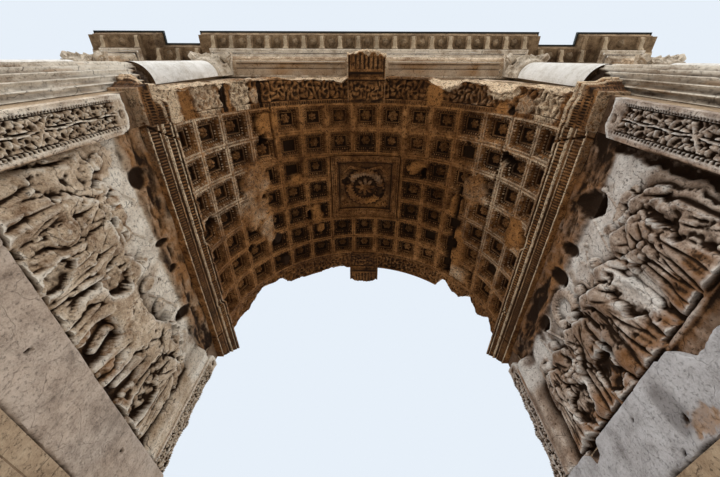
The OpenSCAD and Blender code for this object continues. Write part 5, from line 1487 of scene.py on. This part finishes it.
# %% Carve the spandrels
def winged_figure(panel):
    """A robed figure in flight toward the keystone, drawn for the right-hand side."""
    for k in range(9):
        turn = radians(62 - k * 13)
        reach = 0.62 - 0.035 * abs(k - 3)
        root = (2.32 + 0.02 * k, 8.1 - 0.02 * k)
        panel.limb(root, (root[0] + reach * cos(turn), root[1] + reach * sin(turn) * 0.85), 0.055, 0.03, 0.012,
                   0.004, rise=0.5)
    for k in range(5):
        turn = radians(140 - k * 16)
        panel.limb((2.2, 8.12), (2.2 + 0.36 * cos(turn), 8.12 + 0.36 * sin(turn)), 0.045, 0.025, 0.01, 0.004,
                   rise=0.5)
    panel.limb((2.12, 8.06), (2.4, 7.72), 0.125, 0.15, 0.012, 0.016, rise=0.32, folds=4, deep=0.01)
    panel.limb((2.4, 7.72), (2.76, 7.16), 0.17, 0.12, 0.016, 0.01, rise=0.26, folds=6, slant=1.5)
    panel.limb((2.7, 7.2), (2.98, 6.72), 0.11, 0.03, 0.01, 0.004, rise=0.3, folds=4, slant=1.0, deep=0.01)
    panel.limb((2.5, 7.6), (2.86, 7.42), 0.075, 0.03, 0.008, 0.004, rise=0.4, folds=3)
    panel.limb((2.16, 8.14), (1.92, 8.02), 0.042, 0.034, 0.02)
    panel.limb((1.92, 8.02), (1.66, 8.24), 0.034, 0.026, 0.02)
    panel.limb((2.26, 8.02), (2.4, 7.88), 0.045, 0.036, 0.03)
    panel.limb((2.04, 8.16), (2.02, 8.26), 0.036, 0.034, 0.018)
    panel.ball(2.00, 8.36, 0.07, 0.09, 0.045, 0.012, 10)
    panel.ball(2.04, 8.4, 0.075, 0.065, 0.04, 0.014, -20)
    panel.ring(1.52, 8.34, 0.105, 0.034, 0.03, 0.01, 14)
    panel.limb((1.44, 8.24), (1.26, 8.42), 0.02, 0.01, 0.006)
    for x, z in ((0.78, beam_z - 0.1), (1.12, beam_z - 0.14)):
        panel.petals(x, z, 0.05, 5, 0.02)


for (end, word), (side, hand) in product(both_ends, both_sides):
    angle = np.radians(np.concatenate([np.linspace(7.4, 24, 18), np.linspace(25, 66, 74),
                                       np.linspace(67.5, 90, 16)]))
    angle, share = np.meshgrid(angle, np.linspace(0, 1, 43))
    wall_x, wall_h = ring_r + 0.118, beam_z - spring_z - hair
    edge_r = np.minimum(wall_x / np.maximum(np.sin(angle), 1e-6), wall_h / np.maximum(np.cos(angle), 1e-6))
    r = ring_r + hair + share * (edge_r - ring_r - hair)
    panel = Panel(r * np.sin(angle), spring_z + r * np.cos(angle))
    winged_figure(panel)
    spot = xyz(panel.s * side, panel.z, end)
    border = np.minimum((r - ring_r), np.minimum(wall_h - r * np.cos(angle), 1)) < 0.03
    wear = np.clip(0.1 + 0.6 * smooth(cloud(spot, 0.5, 87, 2), 0.1, 0.6), 0, 0.8)
    panel.h = panel.h * (1 - 0.5 * wear) + 0.006 * cloud(spot, 0.1, 88, 3)
    sunk = np.where(border, 0.004, np.clip(0.062 - panel.h, 0.001, 0.09))
    panel.h = -sunk
    stains_and_light = panel.grime_and_painted_light(spot, 0.12, 14, 5, 9)
    front = xyz(side * panel.s, end * (wall_y - sunk), panel.z)
    back = xyz(side * panel.s, end * (lining_y + hair), panel.z)
    piece = carved("spandrel_%s_%s" % (hand, word), front, back, beige, **stains_and_light)
    if side < 0:
        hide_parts("spandrels_" + word)

# %% [markdown]
# ## Ornament of the cornice
# The cornice leans out on brackets. A leaf hugs each bracket, a rosette fills the
# ceiling between two of them, and eggs and dentils run below. They are strewn along
# the plan of the beam, which steps forward over the columns.

# %% Walk round the beam
beam_hw, beam_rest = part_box("frieze")[1].y - wall_y - 0.004, 0.015
bed_out, corona_z = 0.24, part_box("modillions")[1].z
bracket_w, bracket_l, bracket_h, bracket_step = 0.15, 0.265, 0.16, 0.43


def beam_runs(out):
    """The straight runs of the beam's face, moved out: start, way along, way out, length, and if it lies back."""
    near, far = wall_y + beam_hw + out, wall_y + beam_rest + out
    right = [(shaft_x + beam_hw + out, -near), (shaft_x + beam_hw + out, -far), (outer_x - beam_hw - out, -far),
             (outer_x - beam_hw - out, -near), (outer_x + beam_hw + out, -near),
             (outer_x + beam_hw + out, -(wall_y - beam_hw - out)),
             (outer_x + beam_rest + out, -(wall_y - beam_hw - out))]
    half = right + [(x, -y) for x, y in right[::-1]]
    corners = np.array(half + [(-x, -y) for x, y in half])
    runs = []
    for k, (start, stop) in enumerate(zip(corners, np.roll(corners, -1, axis=0))):
        length = np.hypot(*(stop - start))
        way = (stop - start) / length
        runs.append((start, way, np.array([way[1], -way[0]]), length, k % 14 in (1, 6, 11)))
    return runs


def along_beam(out, z, step):
    """Even places along every run, with their ways along and out."""
    places, ways, outs = [], [], []
    for start, way, away, length, _ in beam_runs(out):
        number = max(1, round(length / step))
        for k in range(number):
            places.append((*(start + way * length * (k + 0.5) / number), z))
            ways.append((*way, 0))
            outs.append((*away, 0))
    return np.array(places), np.array(ways), np.array(outs)


def bracket_leaf():
    """The leaf under one bracket, in metres: along, out and up from the middle of its back top edge."""
    t, s = np.meshgrid(np.linspace(0, 1, 6), np.linspace(-1, 1, 5), indexing="ij")
    under = -bracket_h * (0.3 + 0.7 * (1 - t)) - bracket_h * 0.12 * np.sin(tau * (1 - t))
    half = bracket_w * (0.44 - 0.16 * t) * (0.85 + 0.15 * np.cos(t * 12))
    front = xyz(half * s, bracket_l * (0.04 + 0.97 * t), under - 0.012 + 0.008 * s * s + 0.004 * np.cos(s * 6))
    back = xyz(half * s, bracket_l * (0.04 + 0.93 * t), under + 0.006)
    points, faces = thin_leaf(front, back)
    return points, [face[::-1] for face in faces]


print("beam corners", len(beam_runs(0.0)))


# %% Strew the cornice
def dirt_and_shade(places, low, high, fresh=0.35):
    """The three marks of small pieces, each with its own soot."""
    return dict(soot=np.random.default_rng(4).uniform(low, high, len(places)), fresh=fresh, ochre=0.15)


leaf_at, leaf_axes, flower_at, flower_axes = [], [], [], []
for start, way, away, length, lies_back in beam_runs(bed_out):
    if length < bracket_w + 0.3:
        continue
    first, room = 0.02 + bracket_w / 2, length - bracket_w - 0.04
    if lies_back:
        first, room = first + bracket_l, room - 2 * bracket_l
    number = max(1, int(room / bracket_step))
    along3, out3 = np.array([*way, 0]), np.array([*away, 0])
    for k in range(number + 1):
        spot = np.array([*(start + way * (first + room * k / number)), corona_z])
        leaf_at.append(spot)
        leaf_axes.append([along3, out3, (0, 0, 1)])
        if k < number:
            flower_at.append(spot + along3 * room / number / 2 + out3 * (bracket_l / 2) + (0, 0, 0.004))
            size = min(0.095, room / number / 2 - bracket_w / 2 - 0.015)
            flower_axes.append([along3 * size, out3 * size, (0, 0, -0.075)])
strewn("bracket_leaves", bracket_leaf(), leaf_at, leaf_axes, plain_tan, "wall_marble",
       **dirt_and_shade(leaf_at, -0.2, 0.35, 0.75))
strewn("cornice_rosettes", flower(5, (0.4, 0.75, 1.0), 3), flower_at, flower_axes, plain_tan, "wall_marble",
       **dirt_and_shade(flower_at, 0, 0.3))

# %% [markdown]
# Under the brackets run the bed mouldings, washed pale by the rain, and the beam's
# underside has a sunk panel between the columns. Both are swept over the plain blocks,
# with painted shade in the corners of the steps and at the panel's edges.

# %% Sweep the bed mouldings and the beam's underside
bed_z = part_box("cornice_bed")[0].z
bed_profile = np.array([
    (0.013, 0.002), (0.024, 0.011), (0.054, 0.02), (0.082, 0.036), (0.103, 0.055), (0.105, 0.058), (0.122, 0.06),
    (0.123, 0.072), (0.122, 0.085), (0.132, 0.089), (0.136, 0.102), (0.146, 0.116), (0.16, 0.125), (0.162, 0.129),
    (0.177, 0.131), (0.178, 0.142), (0.177, 0.153), (0.188, 0.157), (0.194, 0.172), (0.21, 0.188), (0.238, 0.199)])
bed_pale = np.array([0, 0.2, 0.1, 0.1, 0.2, 0, 1, 1, 1, 0, 0, 0, 0, 0, 1, 1, 1, 0.7, 1, 1, 0.6])
# Painted shade in the corners and on the undersides of the steps
bed_shade = np.array([0.9, 0.3, 0.3, 0.3, 0.3, 0.9, 0, 0, 0, 0.9, 0.55, 0.5, 0.5, 0.9, 0, 0, 0, 0.5, 0, 0, 0.8])
runs = []
for k in range(len(beam_runs(0.0))):
    lines = [beam_runs(out)[k] for out, _ in bed_profile]
    length = lines[0][3]
    t = np.linspace(0, 1, max(2, round(length / 0.17)) + 1)
    front, back = [], []
    for (start, way, away, size, _), (out, up) in zip(lines, bed_profile):
        x, y = start[0] + way[0] * size * t, start[1] + way[1] * size * t
        chips = 0.005 * (1 + cloud(xyz(x, y, up), 0.11, 97, 2)) - 0.001
        front.append(xyz(x - away[0] * chips, y - away[1] * chips, bed_z + up))
        back.append(xyz(x - away[0] * 0.03, y - away[1] * 0.03, bed_z + up))
    front, back = np.array(front), np.array(back)
    lumps = cloud(front, 0.4, 99, 3)
    runs.append(walled(front, back, soot=clamped(bed_shade[:, None] + 0.25 * lumps),
                       fresh=clamped(bed_pale[:, None] + 0.3 * lumps), ochre=0.2))
joined("bed_mouldings", runs, washed)

under_profile = np.array([(0.004, 0.0), (0.106, 0.0), (0.121, 0.002), (0.124, -0.028), (0.13, -0.03),
                          (0.177, -0.03), (0.224, -0.03), (0.23, -0.028), (0.233, 0.002), (0.258, 0.0),
                          (0.262, 0.004), (0.272, 0.003)])
# Painted shade lines along the edges of the sunk panel
under_shade = np.array([0.3, 0.1, 0.25, 1, 0.5, 0.1, 0.5, 1, 0.25, 0, 0, 0])
under_pale = np.array([0, 0.1, 0.3, 0, 0, 0.1, 0, 0, 0.3, 0.2, 1, 1])
plates = []
for end, side in product((-1, 1), (-1, 1)):
    x, out = np.meshgrid(side * np.linspace(0.47, 2.84, 90), under_profile[:, 0])
    spot = xyz(x, out, end)
    sunk = np.interp(out, *under_profile.T) * smooth(2.37 / 2 - abs(abs(x) - 1.655), 0.02, 0.04)
    z = beam_z - 0.005 - sunk - 0.003 * cloud(spot, 0.12, 100, 2)
    y = end * (wall_y + out)
    lumps = cloud(spot, 0.35, 101, 3)
    back = xyz(x, y, beam_z + 0.045)
    plates.append(walled(xyz(x, y, z), back, soot=clamped(under_shade[:, None] + 0.2 * lumps - 0.05),
                         fresh=clamped(under_pale[:, None] + 0.3 * lumps), ochre=clamped(0.6 + 0.5 * lumps)))
joined("beam_underside", plates, cream)

# %% Strew eggs and dentils on the bed
places, ways, outs = along_beam(0.05, bed_z + 0.036, 0.105)
lean, slope = (outs - (0, 0, 1)) / sqrt(2), (outs + (0, 0, 1)) / sqrt(2)
strewn("bed_eggs", dome(5), places, np.stack([ways * 0.036, slope * 0.04, lean * 0.032], 1), cream, "wall_marble",
       **dirt_and_shade(places, 0, 0.25))
places, ways, outs = along_beam(0.104, bed_z + 0.106, 0.105)
block = np.array(list(product((-1, 1), repeat=3)), float)
block_faces = [[0, 1, 3, 2], [4, 6, 7, 5], [0, 4, 5, 1], [2, 3, 7, 6], [0, 2, 6, 4], [1, 5, 7, 3]]
strewn("dentils", (block, block_faces), places,
       np.stack([ways * 0.03, outs * 0.026, np.broadcast_to((0, 0, 0.026), ways.shape)], 1), cream, "wall_marble",
       **dirt_and_shade(places, 0, 0.2))

# %% [markdown]
# The lead sheet on the cornice is folded down over its edge. The fold is a thin band
# whose lower edge waves a little, as beaten lead does.

# %% Fold the lead over the edge
lead = Finish(bpy.data.materials.new("lead_sheet"))
place = lead.node("ShaderNodeTexCoord").out("Object")
dull = lead.noise(place, 0.6, 4)
lead_colour = lead.node("ShaderNodeValToRGB",
                        {"stops": [(0.35, (0.016, 0.022, 0.024)), (0.65, (0.045, 0.056, 0.058))]}, {"Fac": dull})
lead_bump = lead.node("ShaderNodeBump", {}, {"Strength": 0.3, "Distance": 0.01, "Height": dull})
lead_shader = lead.node("ShaderNodeBsdfPrincipled", {}, {"Base Color": lead_colour, "Roughness": 0.6,
                                                          "Metallic": 0.3, "Normal": lead_bump})
lead.node("ShaderNodeOutputMaterial", {}, {"Surface": lead_shader})
lead_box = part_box("cornice_lead")
lead_out = lead_box[1].y - wall_y - beam_hw
folds = []
for start, way, away, length, _ in beam_runs(lead_out - 0.0005):
    t, up = np.meshgrid(np.linspace(0, length, max(2, round(length / 0.12)) + 1), [0.0, 0.5, 1.0])
    x, y = start[0] + way[0] * t, start[1] + way[1] * t
    drop = 0.06 + 0.006 * cloud(xyz(x, y, 0), 0.4, 98)
    z = lead_box[1].z - 0.001 - drop * (1 - up)
    swell = 0.002 * (up == 0.5)
    front = xyz(x - away[0] * swell, y - away[1] * swell, z)
    back = xyz(x - away[0] * 0.0065, y - away[1] * 0.0065, z)
    folds.append(walled(front, back, soot=0))
joined("lead_folds", folds, lead.material)

# %% [markdown]
# ## Finishes of the plain blocks, the light and the backdrop
# Blocks that no carved piece stands for keep their own shape and get the stone of
# their part of the arch. The lamps are large and soft, and the backdrop is pale.

# %% Dress the frame's own blocks
dress = {"podium": tan, "pier": tan, "haunch": tan, "spandrels": tan, "vault_barrel": tan, "frieze": beige,
         "architrave": beige, "cornice_bed": cream, "modillions": plain_tan, "cornice": plain_tan,
         "cornice_lead": lead.material, "attic_foot": repaired_wall, "attic_body": repaired_wall,
         "inscription_panel": repaired, "attic_cornice": repaired, "attic_roof": repaired,
         "window_frames": repaired, "column_bases": repaired, "inner_shafts": cream, "corner_shafts": repaired,
         "capitals": cream, "keystone": beige, "arch_ring": beige, "impost": grimy, "jamb_strips": beige,
         "relief_panel": beige, "dado": cream, "crown_panel": grimy, "vault_coffering": grimy}
for node_name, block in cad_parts.items():
    start = max((key for key in dress if node_name.startswith(key)), key=len)
    block.data.materials.clear()
    block.data.materials.append(dress[start])
print("dressed", len(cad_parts), "blocks")

# %% Floor, backdrop and lamps
backdrop_colour = (0.8, 0.87, 0.95)
floor_mesh = bpy.data.meshes.new("floor")
span = 60.0
floor_mesh.from_pydata([(-span, -span, -0.002), (span, -span, -0.002), (span, span, -0.002), (-span, span, -0.002)],
                       [], [(0, 1, 2, 3)])
floor = bpy.data.objects.new("floor", floor_mesh)
bpy.context.scene.collection.objects.link(floor)
pale = Finish(bpy.data.materials.new("pale_floor"))
pale_shader = pale.node("ShaderNodeBsdfPrincipled", {}, {"Base Color": (0.62, 0.6, 0.57, 1), "Roughness": 0.9})
pale.node("ShaderNodeOutputMaterial", {}, {"Surface": pale_shader})
floor_mesh.materials.append(pale.material)

world = bpy.data.worlds.new("studio")
bpy.context.scene.world = world
sky = Finish(world)
rays = sky.node("ShaderNodeLightPath")
seen = rays.maths("MAXIMUM", rays.out("Is Camera Ray"), rays.out("Is Glossy Ray"))
seen = rays.maths("MAXIMUM", seen, rays.out("Is Transmission Ray"))
shown = sky.node("ShaderNodeBackground", {}, {"Color": (*backdrop_colour, 1), "Strength": 1.0})
glow = sky.node("ShaderNodeBackground", {}, {"Color": (0.97, 0.98, 1.0, 1), "Strength": 0.78})
both = sky.node("ShaderNodeMixShader", {}, {0: seen, 1: glow, 2: shown})
sky.node("ShaderNodeOutputWorld", {}, {"Surface": both})


def lamp(name, spot, aim, size, power, colour=(1, 0.97, 0.92)):
    """A large soft lamp at a spot, turned toward its aim."""
    data = bpy.data.lights.new(name, "AREA")
    data.shape, data.size, data.size_y = "RECTANGLE", size, size
    data.energy, data.color = power, colour
    made = bpy.data.objects.new(name, data)
    made.location = spot
    made.rotation_euler = (Vector(aim) - Vector(spot)).to_track_quat("-Z", "Y").to_euler()
    bpy.context.scene.collection.objects.link(made)


lamp("key", (-14, -20, 20), (0, 0, 7), 12, 4000)
lamp("fill", (16, -14, 9), (0, 0, 6), 10, 1500)
lamp("back", (6, 22, 16), (0, 0, 6), 14, 2600, (0.95, 0.98, 1))

# %% [markdown]
# ## Close
# The number of triangles the carved pieces add is printed, and the view transform is set.

# %% Print the triangle count and finish
print("triangles added", sum(count.values()))
bpy.context.scene.view_settings.view_transform = "Standard"
